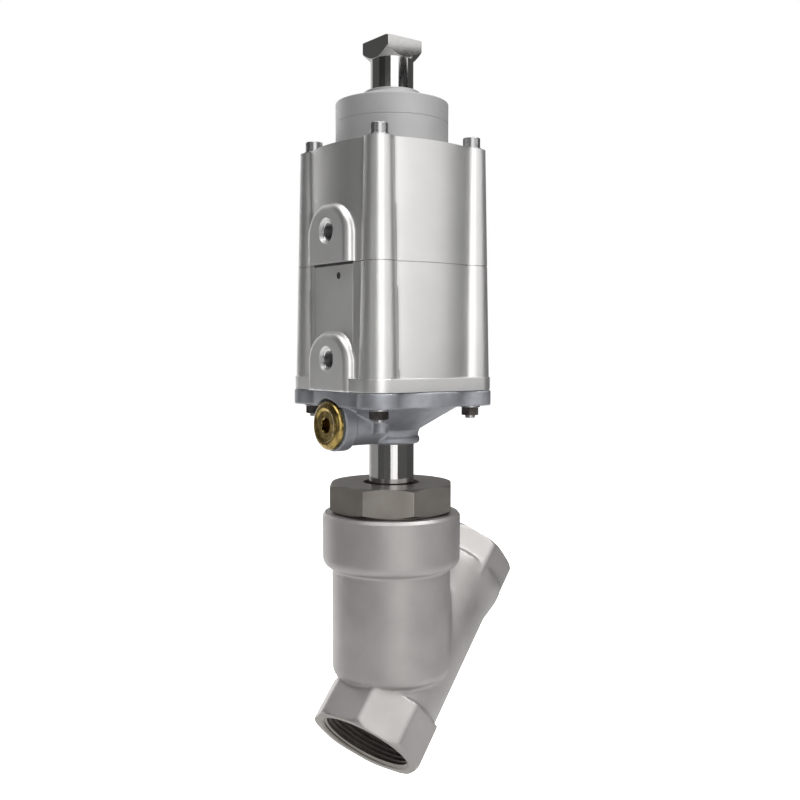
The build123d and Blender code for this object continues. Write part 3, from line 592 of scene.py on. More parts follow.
for name, start, end, outward in (("lower_mouth_thread", LOW_END - 0.5, LOW_END, -1),
                                  ("upper_mouth_thread", HIGH_BORE + 1.4, HIGH_END, 1)):
    thread = as_object(along(ridge(CREST_R + 0.02, ROOT_R, PITCH, start, 9)), name)
    combine(thread, [mouth_cone(end, outward, RUN_OUT)], "DIFFERENCE")
    finished(thread, name, machined_stainless, "housing", [])

# %% [markdown]
# The bonnet is turned and milled from bar: eight spanner faces, with the corners
# turned off top and bottom, a dished top round the neck tube, and a threaded skirt
# that goes down into the collar.

# %% Bonnet
BONNET_ACROSS, BONNET_LOW, BONNET_HIGH = 60, 94, 108
BONNET_TURN = math.radians(-9.5)         # where the tightened bonnet came to rest
NECK_R, NECK_FOOT, NECK_TOP = 11.3, 84.5, 143
STEM_HOLE_R, WIPER_R = 5.4, 8
SKIRT_R, SKIRT_FOOT, DISH_R, DISH_FLOOR = 27, 71.5, 14.2, 102.5
corner = corner_radius(8, BONNET_ACROSS)
narrow, wide, cut_high = corner - 2.4, corner + 2.4, 2.6
bonnet = as_object(prism(8, BONNET_ACROSS, BONNET_LOW, BONNET_HIGH, BONNET_TURN, 0.3))
combine(bonnet, [turned([(0, BONNET_LOW), (narrow, BONNET_LOW), (wide, BONNET_LOW + cut_high),
                         (wide, BONNET_HIGH - cut_high), (narrow, BONNET_HIGH), (0, BONNET_HIGH)], 192)],
        "INTERSECT")
combine(bonnet, [drum(SKIRT_R, SKIRT_FOOT, BONNET_LOW + 1, 0.6)], "UNION")
combine(bonnet, [drum(DISH_R, DISH_FLOOR, 110), drum(NECK_R + 0.03, NECK_FOOT, 110),
                 drum(WIPER_R, NECK_FOOT - 3, 85), drum(STEM_HOLE_R, 70, 90), drum(20, 70, 80)],
        "DIFFERENCE")
soften(bonnet, 0.25)
finished(bonnet, "turned_bonnet", machined_stainless, "housing", ["bonnet"])

# %% [markdown]
# The neck tube is ground and polished, so it works as a narrow upright mirror of
# the studio and shows hard bands of light and dark.

# %% Neck tube
PACKING_R, PACKING_FLOOR = 8, 87.5       # the room for the packing inside the tube
neck = turned([(NECK_R, NECK_FOOT), (NECK_R, NECK_TOP, 0.5), (PACKING_R, NECK_TOP, 0.3),
               (PACKING_R, PACKING_FLOOR), (STEM_HOLE_R, PACKING_FLOOR), (STEM_HOLE_R, NECK_FOOT)], 192)
finished(neck, "polished_neck_tube", polished_stainless, "housing", ["neck_tube"])

# %% [markdown]
# The base under the cylinder is a die casting: a flange with four ears, a cone, a
# hub that grips the neck tube, and a side arm with the boss for the plug. Its shape
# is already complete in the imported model, only too sharp. A copy is merged, grown
# into one skin and relaxed, which rounds every edge by about half a millimetre as
# a die does, and the hole for the tube is then cut clean again.

# %% Base casting
def copied(node):
    """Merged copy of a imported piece, in millimetres about the crossing point."""
    bm = bmesh.new()
    bm.from_mesh(frame["nodes"][node].data)
    bmesh.ops.remove_doubles(bm, verts=bm.verts[:], dist=0.000001)
    bmesh.ops.transform(bm, matrix=Matrix.Diagonal((1 / MM, 1 / MM, 1 / MM, 1))
                        @ Matrix.Translation(-CROSSING), verts=bm.verts[:])
    return bm


base = one_skin([copied("actuator_base")], 0.5, 7, "base")
combine(base, [drum(NECK_R + 0.04, 120, NECK_TOP), drum(STEM_HOLE_R, 142, 152), drum(9, 151.8, 160)],
        "DIFFERENCE")
finished(base, "base_casting", diecast_aluminium, "housing", ["actuator_base"])

# %% [markdown]
# Two things give the cylinder its order: four tie bolts on a circle, and one side
# that carries both air ports. One helper repeats a shape on the four bolt axes, and
# another points an upright shape out of the port side. The pad round an air port is
# a block whose two upper corners are rounded so far that they make an arch.

# %% Places on the cylinder, and the port pad
TIE_CIRCLE = 39.6
TIE_TURNS = [PORT_TURN + math.radians(45 + 90 * k) for k in range(4)]
PAD_FACE, PAD_WIDE, PAD_ARCH, PAD_RIM = 39.2, 36, 15, 3.6


def at_ties(make):
    """One copy of a shape on each of the four tie-bolt axes."""
    copies = []
    for turn in TIE_TURNS:
        spot = Matrix.Translation((TIE_CIRCLE * math.cos(turn), TIE_CIRCLE * math.sin(turn), 0))
        copies.append(moved(make(), spot @ Matrix.Rotation(turn, 4, "Z")))
    return copies


def towards_port(bm, height):
    """Point an upright shape out of the port side, at a height."""
    return moved(bm, Matrix.Translation((0, 0, height)) @ TO_PORT)


def pad(foot, top):
    """Arched pad that carries an air port, with rounded rims."""
    bm = block((40, PAD_WIDE, top - foot), (PAD_FACE - 20, 0, (foot + top) / 2))
    shoulders = [e for e in bm.edges if all(v.co.z > top - 0.01 for v in e.verts)
                 and abs(e.verts[0].co.x - e.verts[1].co.x) > 1]
    round_off(bm, shoulders, PAD_ARCH, 32)
    rim = [e for e in bm.edges if all(v.co.x > PAD_FACE - 0.1 for v in e.verts)
           and not all(v.co.z < foot + 0.01 for v in e.verts)]
    round_off(bm, rim, PAD_RIM, 12)
    return moved(bm, PORT_SIDE)


print("tie bolts at", [round(math.degrees(turn)) for turn in TIE_TURNS], "degrees")

# %% [markdown]
# The cylinder is two die-cast halves with a round bore. Their four sides bulge
# gently, so each is cut from a wide cone, and a lobe stands on each corner for a tie
# bolt. All walls lean in by a fraction of a degree, so that the casting leaves its
# die. Core and lobes get one skin, relaxed a little, which leaves a soft hollow
# beside each lobe.

# %% Drafted shell of the cylinder
FOOT, SPLIT, TOP = 154.8, 215.5, 272.5   # heights of the cylinder
SIDE_R = 72                              # the sides bulge by this radius
SIDE_FOOT, SIDE_TOP = 37.4, 36.8         # axis to side
LOBE_FOOT, LOBE_TOP = 9.4, 6.9           # radii of the lobes
LOWER_AIR, UPPER_AIR, PAD_ABOVE = 170.3, 231.3, 12.8
PANEL_FACE, PANEL_WIDE, PANEL_FOOT = 34.8, 34, 172
BAND_ACROSS, BAND_TOP, BAND_CORNER = 75.6, 161.4, 9.8
SEAM, SEAM_DEEP, OVERRUN = 0.45, 1.2, 1.5
CYLINDER_VOXEL, CUTTER_R = 0.6, 80


def tapered(low_r, high_r, low, high, steps):
    """Cone with draft about the spindle axis."""
    return turned([(0, low), (low_r, low), (high_r, high), (0, high)], steps)


def wall_at(height, first, last):
    """Radius of a drafted surface at a height on the cylinder."""
    return first + (last - first) * (height - FOOT) / (TOP - FOOT)


def shell(low, high, name, inset=0.0):
    """Drafted core of four gently bulged sides with its lobes, relaxed and cut to length."""
    low_cut, high_cut = low - 3, high + 3
    side_low, side_high = (wall_at(cut, SIDE_FOOT, SIDE_TOP) for cut in (low_cut, high_cut))
    lobe_low, lobe_high = (wall_at(cut, LOBE_FOOT, LOBE_TOP) - inset for cut in (low_cut, high_cut))
    sides = []
    for quarter in range(4):
        bulge = tapered(SIDE_R - inset, SIDE_R - inset + side_high - side_low, low_cut, high_cut, 512)
        sides.append(moved(bulge, Matrix.Rotation(PORT_TURN + math.radians(90 * quarter), 4, "Z")
                           @ Matrix.Translation((side_low - SIDE_R, 0, 0))))
    core = combine(as_object(sides[0], name), sides[1:], "INTERSECT")
    lumps = [core] + at_ties(lambda: tapered(lobe_low, lobe_high, low_cut, high_cut, 64))
    grown = one_skin(lumps, CYLINDER_VOXEL, 2, name)
    return combine(grown, [drum(CUTTER_R, low, high)], "INTERSECT")


lean = math.degrees(math.atan((SIDE_FOOT - SIDE_TOP) / (TOP - FOOT)))
print("the sides lean in by", round(lean, 2), "degrees")

# %% [markdown]
# The lower half gets a sunk panel, an arched pad and the foot band. Relaxing a skin
# rounds its ends too, so the half is drawn a little too long and cut off flat where
# it meets the upper one. The band is added last, because its edges are crisper.

# %% Lower half, outside
lower = shell(FOOT, SPLIT + OVERRUN, "lower_shell")
panel_top = SPLIT + 1
combine(lower, [moved(block((20, PANEL_WIDE, panel_top - PANEL_FOOT),
                            (PANEL_FACE + 10, 0, (PANEL_FOOT + panel_top) / 2)), PORT_SIDE)],
        "DIFFERENCE")
lower = one_skin([lower, pad(FOOT, LOWER_AIR + PAD_ABOVE)], CYLINDER_VOXEL, 2, "lower_cylinder_casting")
combine(lower, [drum(CUTTER_R, FOOT - 0.8, SPLIT)], "INTERSECT")
band = as_object(prism(4, BAND_ACROSS, FOOT + 0.1, BAND_TOP, PORT_TURN, BAND_CORNER))
soften(band, 0.5)
combine(lower, [band], "UNION")
print("lower skin", len(lower.data.polygons), "faces")

# %% [markdown]
# The upper half is made the same way. A narrow neck at its foot leaves the dark line
# that shows where the casting comes apart. The line stops under the upper pad, where
# a notch leaves room for a dark strip that paints the shadow of the pad.

# %% Upper half, outside
upper = shell(SPLIT - OVERRUN, TOP + OVERRUN, "upper_shell")
upper = one_skin([upper, pad(SPLIT - OVERRUN, UPPER_AIR + PAD_ABOVE)], CYLINDER_VOXEL, 2,
                 "upper_cylinder_casting")
combine(upper, [drum(CUTTER_R, SPLIT + SEAM, TOP)], "INTERSECT")
combine(upper, [shell(SPLIT, SPLIT + OVERRUN, "seam", SEAM_DEEP)], "UNION")
notch = block((14, PAD_WIDE + 0.4, 0.7), (PAD_FACE + 0.2, 0, SPLIT + 0.3))
combine(upper, [moved(notch, PORT_SIDE)], "DIFFERENCE")
print("upper skin", len(upper.data.polygons), "faces")

# %% [markdown]
# Then come the cuts. Both halves get four holes for the tie bolts and an air port,
# which is a G 1/8 hole with a countersink, so a function hands back the tools for
# each. The vent in the panel is drawn twice, as the hole and as the dark disc at its floor.

# %% Cutting tools for the cylinder
BORE_R, CEILING = 31.5, 265.5
TIE_HOLE_R, SPIGOT_R = 2.75, 18
AIR_ROOT_R, AIR_CREST_R, AIR_PITCH, AIR_FLOOR = 4.86, 4.3, 0.907, 37.3
VENT_R, VENT_FLOOR, VENT_AT, VENT_ASIDE = 1.7, 34.3, 210.0, 4.5
GROOVE_IN, GROOVE_OUT, GROOVE_FLOOR = 32.74, 34.46, 213.7


def tie_holes():
    """Tools for the four holes that the tie bolts go through."""
    return at_ties(lambda: drum(TIE_HOLE_R, 140, 290, 0, 32))


def air_lead(height, reach):
    """Countersink of an air port, drawn up to a distance from the axis."""
    wide = AIR_CREST_R + reach - AIR_FLOOR
    return towards_port(turned([(0, AIR_FLOOR), (AIR_CREST_R, AIR_FLOOR), (wide, reach), (0, reach)], 64),
                        height)


def air_hole(height):
    """Tools that cut one air port with its lead-in."""
    return [towards_port(drum(AIR_ROOT_R, 15, 45, 0, 64), height), air_lead(height, 39.7)]


def vent_drum(radius, end):
    """Cylinder in the place of the vent, from its floor out to a distance from the axis."""
    return moved(towards_port(drum(radius, VENT_FLOOR, end, 0, 32), VENT_AT),
                 Matrix.Translation(PORT_SIDE.to_3x3() @ Vector((0, VENT_ASIDE, 0))))


print("air ports", 2 * AIR_CREST_R, "mm wide inside the thread, bore", 2 * BORE_R, "mm")

# %% [markdown]
# The lower half also gets the groove for the sealing ring and the vent. A dark disc
# stands for the vent's screen, with its black as painted shade of a deep hole, and a
# dark strip in the notch above it is a painted shadow under the upper pad.

# %% Lower half, machined
combine(lower, [drum(BORE_R, 150, 220, 0, 192)] + tie_holes() + air_hole(LOWER_AIR), "DIFFERENCE")
ring_groove = turned([(GROOVE_IN, GROOVE_FLOOR), (GROOVE_OUT, GROOVE_FLOOR), (GROOVE_OUT, 220),
                      (GROOVE_IN, 220)], 128)
combine(lower, [vent_drum(VENT_R, 40), ring_groove], "DIFFERENCE")
finished(lower, "lower_cylinder_casting", satin_aluminium, "housing", ["lower_cylinder"])
# The vent's dark disc stands for its screen, and its black is painted shade of a deep hole.
finished(vent_drum(VENT_R - 0.02, VENT_FLOOR + 0.4), "vent_screen_and_painted_shade", nitrile_rubber, "housing", [])
# The dark sheet in the notch is painted shadow: it stands for the shade under the upper pad's overhang.
strip = moved(block((0.3, PANEL_WIDE - 0.6, 1.1), (PANEL_FACE + 0.1, 0, SPLIT)), PORT_SIDE)
finished(strip, "painted_shadow_line", nitrile_rubber, "housing", [])

# %% [markdown]
# The upper half has the seat for the cap's spigot. An air port is small, but the
# light falls into it, so both ports get their real thread, with 28 turns to the
# inch, and a thin bright ring where the countersink was cut.

# %% Upper half and air threads
combine(upper, [drum(BORE_R, 210, CEILING, 0, 192), drum(SPIGOT_R + 0.03, 260, 280)] + tie_holes()
        + air_hole(UPPER_AIR), "DIFFERENCE")
finished(upper, "upper_cylinder_casting", satin_aluminium, "housing", ["upper_cylinder"])
for name, height in (("lower_air_thread", LOWER_AIR), ("upper_air_thread", UPPER_AIR)):
    winding = ridge(AIR_CREST_R + 0.01, AIR_ROOT_R, AIR_PITCH, 32.2, 8, 40)
    thread = as_object(towards_port(winding, height), name)
    combine(thread, [air_lead(height, 42)], "DIFFERENCE")
    bright_ring = turned([(4.84, 37.7), (6.22, 39.12), (6.22, 39.0), (4.98, 37.7)], 96)
    combine(thread, [towards_port(bright_ring, height)], "UNION")
    finished(thread, name, cut_aluminium, "housing", [])

# %% [markdown]
# The cap's spigot is screwed into the top wall. The cap is turned from bar: a
# straight side with a fine setting line, a low cone and a small raised ring round
# the rod, where a black wiper keeps dirt out.

# %% Cap and wiper
CAP_R, CAP_SHOULDER, RING_R, RING_FOOT, CAP_TOP = 28, 295.8, 13.9, 300.3, 301.7
BUSH_R, BUSH_TOP, ROD_HOLE_R, WIPER_FOOT = 12.63, 286.5, 11.1, 298.7
LINE_AT, LINE_HALF, LINE_DEEP = 286.05, 0.15, 0.2
seal_floor, seal_low, seal_high = 16.28, 268.14, 269.86
cap = turned([(BUSH_R, CEILING), (SPIGOT_R, CEILING, 0.3), (SPIGOT_R, seal_low), (seal_floor, seal_low),
              (seal_floor, seal_high), (SPIGOT_R, seal_high), (SPIGOT_R, TOP), (CAP_R, TOP, 0.3),
              (CAP_R, LINE_AT - LINE_HALF), (CAP_R - LINE_DEEP, LINE_AT), (CAP_R, LINE_AT + LINE_HALF),
              (CAP_R, CAP_SHOULDER, 0.4), (RING_R, RING_FOOT, 0.4), (RING_R, CAP_TOP, 0.35),
              (BUSH_R, CAP_TOP, 0.15), (BUSH_R, WIPER_FOOT), (ROD_HOLE_R, WIPER_FOOT),
              (ROD_HOLE_R, BUSH_TOP), (BUSH_R, BUSH_TOP)], 192)
finished(cap, "turned_cap", matte_aluminium, "housing", ["cap"])
wiper = turned([(10.65, WIPER_FOOT), (12.6, WIPER_FOOT), (12.6, CAP_TOP - 0.4, 0.2),
                (ROD_HOLE_R, CAP_TOP, 0.2), (10.65, CAP_TOP)], 128)
finished(wiper, "rod_wiper_ring", nitrile_rubber, "housing", ["rod_wiper"])

# %% [markdown]
# The top of the spindle sticks out and shows whether the valve is open. It is a
# polished rod that flares to a square for a spanner, with the square's corners
# turned off. It is made as the shop makes it: the lathe shape is complete, and
# four flats are milled off its flared head.

# %% Top spindle
ROD_R, HEAD_R, HEAD_TOP = 10.6, 14.7, 326.5
TIP_HOLE_R, ROD_FOOT, TIP_HOLE_TOP = 4.03, 191, 207
spindle = as_object(turned([(TIP_HOLE_R, ROD_FOOT), (ROD_R, ROD_FOOT, 0.4), (ROD_R, 317.2),
                            (HEAD_R, 321, 0.3), (HEAD_R, HEAD_TOP, 0.4), (0, HEAD_TOP),
                            (0, TIP_HOLE_TOP), (TIP_HOLE_R, TIP_HOLE_TOP)], 192))
flats = []
for quarter in range(4):
    flat = block((10, 40, 12), (ROD_R + 5, 0, HEAD_TOP - 3.25))
    flats.append(moved(flat, Matrix.Rotation(PORT_TURN + math.radians(90 * quarter), 4, "Z")))
combine(spindle, flats, "DIFFERENCE")
finished(spindle, "polished_top_spindle", polished_stainless, "spindle", ["top_spindle"])

# %% [markdown]
# The plug in the side arm is a pressed screw with a domed rim, a dished middle and a
# hexagon socket, zinc plated and yellow passivated, on a fibre gasket.

# %% Plug and gasket
PLUG_AXIS, SHANK_R, PLUG_HEAD_R, SOCKET_ACROSS = 138.2, 8.3, 12, 7
BOSS_FACE, HEAD_FOOT, DISH, RIM_CREST = 36, 36.8, 39.5, 40.2
section = turned([(0, 27.8), (SHANK_R, 27.8, 0.6), (SHANK_R, HEAD_FOOT), (PLUG_HEAD_R, HEAD_FOOT, 0.3),
                  (PLUG_HEAD_R, 38.3, 0.8), (10.4, RIM_CREST, 1.6), (8.4, RIM_CREST, 0.9),
                  (7.2, DISH, 0.5), (0, DISH)], 160)
plug = as_object(towards_port(section, PLUG_AXIS))
socket_lead = turned([(0, 39), (3.5, 39), (5.2, 40.7), (0, 40.7)], 96)
combine(plug, [towards_port(prism(6, SOCKET_ACROSS, 33.8, 45), PLUG_AXIS),
               towards_port(socket_lead, PLUG_AXIS)], "DIFFERENCE")
soften(plug, 0.15, 40)
finished(plug, "plug_screw", yellow_zinc, "housing", ["plug"])
gasket = turned([(SHANK_R + 0.04, BOSS_FACE), (PLUG_HEAD_R, BOSS_FACE, 0.2),
                 (PLUG_HEAD_R, HEAD_FOOT, 0.2), (SHANK_R + 0.04, HEAD_FOOT)], 128)
finished(towards_port(gasket, PLUG_AXIS), "plug_gasket_ring", pressed_fibre, "housing",
         ["plug_gasket"])

# %% [markdown]
# Four socket-head screws hold the cylinder together. Screws, nuts and washers are
# small, but their bright rims are what makes them read as hardware, so each gets
# rounded edges and its proper socket or chamfer. The four screws are one piece,
# because nobody would take them apart in the library.

# %% Tie bolts, nuts and washers
SCREW_R, SCREW_TIP, SCREW_HEAD_R, SCREW_HEAD_HIGH = 2.5, 140.8, 4.25, 5
NUT_ACROSS, NUT_FOOT, NUT_TOP, WASHER_THICK = 8, 142.3, 146.3, 1
HEX_TURN = math.radians(30)


def four(make):
    """The same small piece on all four tie-bolt axes, as one shape."""
    return gathered(at_ties(make))


seat = TOP + WASHER_THICK
crown = seat + SCREW_HEAD_HIGH
bolts = as_object(four(lambda: turned(
    [(0, SCREW_TIP), (SCREW_R, SCREW_TIP, 0.4), (SCREW_R, seat), (SCREW_HEAD_R, seat, 0.2),
     (SCREW_HEAD_R, crown, 0.4), (0, crown)], 64)))
sockets = four(lambda: prism(6, 4, crown - 2.6, crown + 1.5, HEX_TURN))
socket_leads = four(lambda: turned([(0, crown - 0.5), (2, crown - 0.5), (3, crown + 0.5),
                                    (0, crown + 0.5)], 48))
combine(bolts, [sockets, socket_leads], "DIFFERENCE")
finished(bolts, "tie_screws", bright_zinc, "housing", ["tie_bolts"])
nuts = as_object(four(lambda: prism(6, NUT_ACROSS, NUT_FOOT, NUT_TOP, HEX_TURN)))
rounded = four(lambda: turned([(0, NUT_FOOT), (3.9, NUT_FOOT), (5.2, NUT_FOOT + 0.8),
                               (5.2, NUT_TOP - 0.8), (3.9, NUT_TOP), (0, NUT_TOP)], 64))
combine(nuts, [rounded], "INTERSECT")
combine(nuts, [four(lambda: drum(SCREW_R + 0.03, 140, 150, 0, 48))], "DIFFERENCE")
finished(nuts, "tie_screw_nuts", dark_zinc, "housing", ["tie_nuts"])
washer = [(TIE_HOLE_R, 0, 0.1), (5, 0, 0.15), (5, WASHER_THICK, 0.25), (TIE_HOLE_R, WASHER_THICK, 0.1)]
washers = gathered(at_ties(lambda: moved(turned(washer, 64), Matrix.Translation((0, 0, TOP))))
                   + at_ties(lambda: moved(turned(washer, 64), Matrix.Translation((0, 0, NUT_TOP)))))
finished(washers, "tie_screw_washers", bright_zinc, "housing", ["tie_washers"])

# %% [markdown]
# Anyone who looks into a mouth sees the disc on its seat, so the pieces down there
# are turned with fine edges too: the disc with its soft ring, the keeper, the nut
# and the spindle.

# %% Disc and spindle
DISC_R, DISC_TOP, TIP_R, STEM_R = 21, 14, 4, 5
KEEPER_FOOT, STEM_END = 5, -1
hole = TIP_R + 0.03
disc = turned([(hole, RIM_TOP), (10.98, RIM_TOP), (10.98, 10), (19.6, 10), (19.6, RIM_TOP),
               (DISC_R, RIM_TOP, 0.3), (DISC_R, 11.5, 0.2), (18.5, DISC_TOP, 0.3), (hole, DISC_TOP)], 160)
finished(disc, "turned_disc", machined_stainless, "spindle", ["disc"])
soft_ring = turned([(11.03, RIM_TOP), (19.55, RIM_TOP), (19.55, 9.98), (11.03, 9.98)], 160)
finished(soft_ring, "disc_soft_ring", white_ptfe, "spindle", ["disc_seal"])
keeper = turned([(hole, KEEPER_FOOT, 0.2), (14.5, KEEPER_FOOT, 0.4), (14.5, RIM_TOP),
                 (hole, RIM_TOP)], 128)
finished(keeper, "disc_keeper_plate", machined_stainless, "spindle", ["disc_keeper"])
nut = as_object(prism(6, 17, STEM_END, KEEPER_FOOT, HEX_TURN))
combine(nut, [turned([(0, STEM_END), (8.3, STEM_END), (10.2, STEM_END + 1.1), (10.2, KEEPER_FOOT),
                      (0, KEEPER_FOOT)], 128)], "INTERSECT")
combine(nut, [drum(hole, -3, 7)], "DIFFERENCE")
finished(nut, "disc_lock_nut", machined_stainless, "spindle", ["disc_nut"])
stem = turned([(0, STEM_END), (TIP_R, STEM_END, 0.5), (TIP_R, DISC_TOP), (STEM_R, DISC_TOP, 0.2),
               (STEM_R, 176), (TIP_R, 176), (TIP_R, 205, 0.4), (0, 205)], 96)
finished(stem, "turned_stem", polished_stainless, "spindle", ["stem"])

# %% [markdown]
# The return spring between the piston and the top wall is wound from round wire: one
# circle, carried round the axis while it climbs.

# %% Return spring
WIRE_R, COIL_R, COILS, STEPS = 2.2, 22.6, 6.5, 64
spring_low, spring_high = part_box("return_spring")
free = (spring_high.z - spring_low.z) / MM
first_turn = (spring_low.z - CROSSING.z) / MM + WIRE_R
bm = bmesh.new()
across = Matrix.Translation((COIL_R, 0, first_turn)) @ Matrix.Rotation(math.radians(90), 4, "X")
bmesh.ops.create_circle(bm, cap_ends=False, segments=16, radius=WIRE_R, matrix=across)
bmesh.ops.spin(bm, geom=bm.verts[:] + bm.edges[:], cent=(0, 0, 0), axis=(0, 0, 1),
               dvec=(0, 0, (free - 2 * WIRE_R) / (COILS * STEPS)), angle=math.tau * COILS,
               steps=int(COILS * STEPS), use_merge=False, use_duplicate=False)
spring = finished(closed(bm), "wound_return_spring", spring_wire, "housing", ["return_spring"])
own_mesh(spring)

# %% [markdown]
# Everything that stays out of sight, such as the packing, the piston and its seals,
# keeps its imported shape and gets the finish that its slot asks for.

# %% Finishes of the inner pieces
by_slot = {"cast_stainless": blasted_stainless, "turned_stainless": machined_stainless,
           "polished_stainless": polished_stainless, "satin_aluminium": satin_aluminium,
           "cast_aluminium": diecast_aluminium, "cap_aluminium": matte_aluminium,
           "zinc_plate_yellow": yellow_zinc, "screw_steel": bright_zinc, "spring_steel": spring_wire,
           "ptfe_white": white_ptfe, "bush_polymer": bush_polymer, "seal_rubber": nitrile_rubber,
           "gasket_fibre": pressed_fibre, "bronze": tin_bronze}
for part in frame["record"]["subparts"]:
    node = frame["nodes"][part["node"]]
    node.data.materials.clear()
    node.data.materials.append(by_slot[part["material_slot"]])

# %% [markdown]
# The camera stands half a metre from the spindle, at the height of the lower air
# port, and looks down by three degrees, as in the photograph. Its place and tilt were
# worked out from the outlines of the cap, the collar and the two mouths, whose sizes
# are known.

# %% Camera
HEADING = math.radians(-51.43)
YAW, PITCH_DOWN, ROLL = math.radians(0.489), math.radians(3.095), math.radians(0.108)
DISTANCE, EYE_HEIGHT = 500.44, 176.4
SENSOR, FOCAL_PIXELS, PHOTO_PIXELS = 36, 993.13, 800
camera = bpy.data.objects.new("camera", bpy.data.cameras.new("camera"))
bpy.context.scene.collection.objects.link(camera)
camera.data.sensor_width = SENSOR
camera.data.lens = SENSOR * FOCAL_PIXELS / PHOTO_PIXELS
camera.data.clip_start = 0.01
camera.data.clip_end = 50
spot = Matrix.Rotation(HEADING, 4, "Z") @ Vector((0, -DISTANCE, EYE_HEIGHT))
camera.matrix_world = (Matrix.Translation(CROSSING + spot * MM)
                       @ Matrix.Rotation(HEADING - YAW, 4, "Z")
                       @ Matrix.Rotation(math.radians(90) - PITCH_DOWN, 4, "X")
                       @ Matrix.Rotation(ROLL, 4, "Z"))
bpy.context.scene.camera = camera
print("camera at", [round(c, 3) for c in camera.location])

# %% [markdown]
# Bare metal looks like what stands round it, so the studio matters as much as the
# finish. The far background is white for the camera and for mirror rays, and a plain
# grey light for the rest. From here on, sizes are in metres.

# %% World
world = bpy.data.worlds.new("studio")
bpy.context.scene.world = world
world.use_nodes = True
tree = world.node_tree
tree.nodes.clear()
path = add(tree, "ShaderNodeLightPath")
seen = add(tree, "ShaderNodeMath", {"operation": "MAXIMUM"},
           {0: path.outputs["Is Camera Ray"], 1: path.outputs["Is Glossy Ray"]})
seen = add(tree, "ShaderNodeMath", {"operation": "MAXIMUM"},
           {0: seen.outputs[0], 1: path.outputs["Is Transmission Ray"]})
soft = add(tree, "ShaderNodeBackground", {"Color": colour("#FFFFFF"), "Strength": 0.41})
white = add(tree, "ShaderNodeBackground", {"Color": colour("#FFFFFF"), "Strength": 1.0})
mix = add(tree, "ShaderNodeMixShader", {}, {0: seen.outputs[0], 1: soft.outputs[0], 2: white.outputs[0]})
add(tree, "ShaderNodeOutputWorld", {}, {"Surface": mix.outputs[0]})

print("world", world.name, "ready")

# %% [markdown]
# Four soft windows light the valve: a narrow key just right of the camera, one on
# the right, one overhead and one behind on the left. An azimuth says from which side
# a window shines, and a rise how high it stands.

# %% Windows
AIM_ABOVE = 0.15


def window(name, width, height, power, azimuth, rise, reach):
    """Soft area lamp that looks at the valve, from an azimuth, a rise and a distance."""
    lamp = bpy.data.lights.new(name, "AREA")
    lamp.shape = "RECTANGLE"
    lamp.size, lamp.size_y, lamp.energy = width, height, power
    obj = bpy.data.objects.new(name, lamp)
    bpy.context.scene.collection.objects.link(obj)
    aim = CROSSING + Vector((0, 0, AIM_ABOVE))
    turn, lift = math.radians(azimuth), math.radians(rise)
    obj.location = aim + Vector((math.cos(turn) * math.cos(lift), math.sin(turn) * math.cos(lift),
                                 math.sin(lift))) * reach
    obj.rotation_euler = (aim - obj.location).to_track_quat("-Z", "Y").to_euler()
    return obj


# Name, width, height, watts, azimuth, rise and distance
for row in (("key_window", 0.5, 0.7, 1.45, 232, 10, 0.75),
            ("side_window", 0.45, 0.45, 4.5, 288, 54, 1.1),
            ("top_window", 0.8, 0.8, 4.0, 190, 72, 1.1),
            ("back_window", 0.5, 1.0, 12.0, 78, 8, 1.25)):
    window(*row)
print("windows", [lamp.name for lamp in bpy.data.lights])

# %% [markdown]
# A ring of panels stands round the valve and shows up in mirror rays alone. Where a
# panel is white a round part gets a bright band, and where it is dark it gets a dark
# one. A panel is one flat face that glows by itself and is hidden from all other
# rays.

# %% One panel
RING_REACH = 0.95


def panel(name, first, last, low, high, tone):
    """Glowing panel of a ring round the valve, between two azimuths and two heights."""
    half = math.radians((last - first) / 2)
    bm = bmesh.new()
    bmesh.ops.create_grid(bm, x_segments=1, y_segments=1, size=0.5)
    obj = as_object(bm, name)
    obj.data.transform(Matrix.Translation(CROSSING) @ Matrix.Rotation(math.radians(first) + half, 4, "Z")
                       @ Matrix.Translation((RING_REACH, 0, (low + high) / 2))
                       @ Matrix.Rotation(math.radians(90), 4, "Y")
                       @ Matrix.Diagonal((high - low, 2 * RING_REACH * math.tan(half), 1, 1)))
    sheet = bpy.data.materials.new(name + " sheet")
    sheet.use_nodes = True
    sheet.node_tree.nodes.clear()
    glow = add(sheet.node_tree, "ShaderNodeEmission", {"Color": colour("#FFFFFF"), "Strength": tone})
    add(sheet.node_tree, "ShaderNodeOutputMaterial", links={"Surface": glow.outputs[0]})
    obj.data.materials.append(sheet)
    obj.visible_camera = obj.visible_diffuse = obj.visible_transmission = obj.visible_shadow = False


print("panels stand", RING_REACH, "m from the crossing point")

# %% [markdown]
# The panels are listed by azimuth, from the back by the left and the front to the
# right. They are stacked in bands of height, because the polished rod and neck look
# out above and below what the cylinder looks at.

# %% Ring of panels
GROUND, SKY = -0.9, 1.6
NECK_LOW, NECK_HIGH = -0.03, 0.075       # what the neck tube mirrors
SIDE_HIGH, SIDE_END = 0.53, 0.535        # where the cylinder's view ends
FLAT_LOW, FLAT_HIGH = 0.603, 0.69        # what the square head mirrors


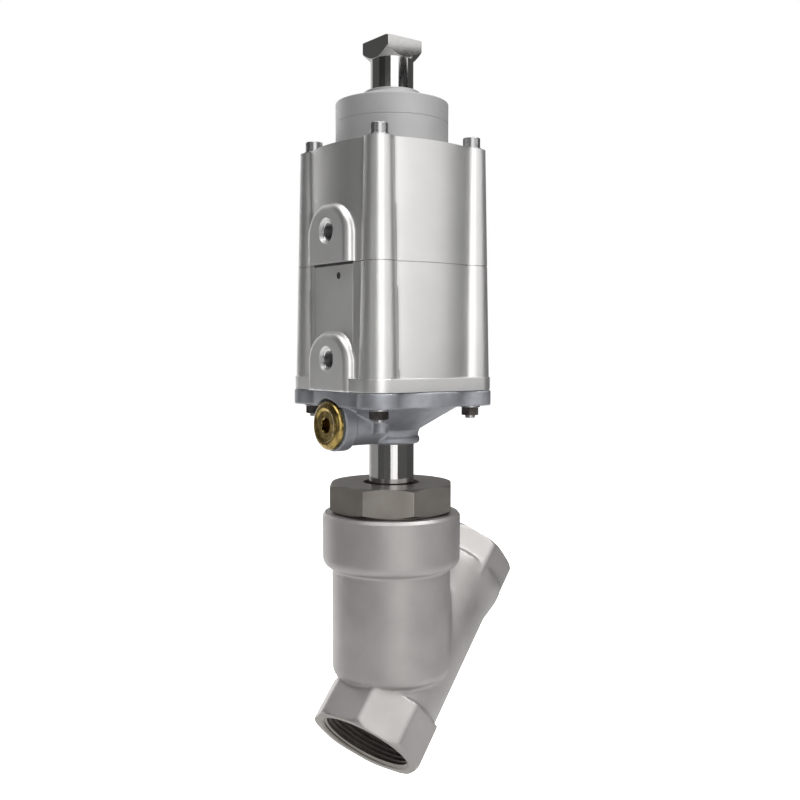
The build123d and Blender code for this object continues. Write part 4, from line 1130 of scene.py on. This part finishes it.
# Name, azimuths, heights and brightness
for row in (
        ("back_panel", 28, 50, GROUND, SKY, 0.25),
        ("back_left_panel", 50, 88, GROUND, SKY, 0.70),
        ("left_low", 88, 146, GROUND, NECK_LOW, 0.11),
        ("left_neck", 88, 146, NECK_LOW, NECK_HIGH, 0.41),
        ("left_panel", 88, 146, NECK_HIGH, SKY, 0.11),
        ("dark_low", 146, 182, GROUND, NECK_LOW, 0.04),
        ("dark_neck", 146, 182, NECK_LOW, NECK_HIGH, 0.11),
        ("dark_middle", 146, 166, NECK_HIGH, SIDE_HIGH, 0.15),
        ("left_strip", 166, 182, NECK_HIGH, SIDE_HIGH, 0.60),
        ("dark_high", 146, 182, SIDE_HIGH, SKY, 0.04),
        ("front_low", 182, 212, GROUND, NECK_LOW, 0.10),
        ("front_neck", 182, 226, NECK_LOW, NECK_HIGH, 0.13),
        ("front_middle", 182, 212, NECK_HIGH, 0.55, 0.24),
        ("front_gap", 212, 253, 0.09, SIDE_END, 0.50),
        ("front_high", 182, 212, 0.55, SKY, 0.10),
        ("right_foot", 253, 304, GROUND, NECK_LOW, 0.15),
        ("right_neck", 250, 304, NECK_LOW, NECK_HIGH, 0.13),
        ("right_middle", 253, 304, NECK_HIGH, SIDE_END, 1.0),
        ("right_high", 253, 312, SIDE_END, FLAT_LOW, 0.02),
        ("right_strip", 253, 312, FLAT_LOW, FLAT_HIGH, 1.3),
        ("right_upper", 253, 312, FLAT_HIGH, 0.86, 0.10),
        ("right_top", 253, 312, 0.86, SKY, 1.4),
        ("back_right_panel", 304, 390, GROUND, SKY, 0.10)):
    panel(*row)
print("panels from", GROUND, "to", SKY, "m")

# %% [markdown]
# The floor is a sheet of pale paper well below the valve. It glows for the camera
# alone, so that it melts into the white background, while the metal still gets the
# soft light that it sends back.

# %% Floor
FLOOR_DROP = 0.15
floor_mesh = bmesh.new()
bmesh.ops.create_grid(floor_mesh, x_segments=1, y_segments=1, size=4)
floor = as_object(floor_mesh, "floor")
floor_at = cad_box[0][2] - FLOOR_DROP
floor.data.transform(Matrix.Translation((0, 0, floor_at)))
paper, tree, shader = blank("pale studio paper")
shader.inputs["Base Color"].default_value = colour("#F4F4F4")
shader.inputs["Roughness"].default_value = 0.9
shader.inputs["Emission Color"].default_value = colour("#FFFFFF")
path = add(tree, "ShaderNodeLightPath")
tree.links.new(path.outputs["Is Camera Ray"], shader.inputs["Emission Strength"])
floor.data.materials.append(paper)
bpy.context.scene.view_settings.view_transform = "Standard"
print("studio ready, floor at", round(floor_at, 4))

# %% Finish
import json
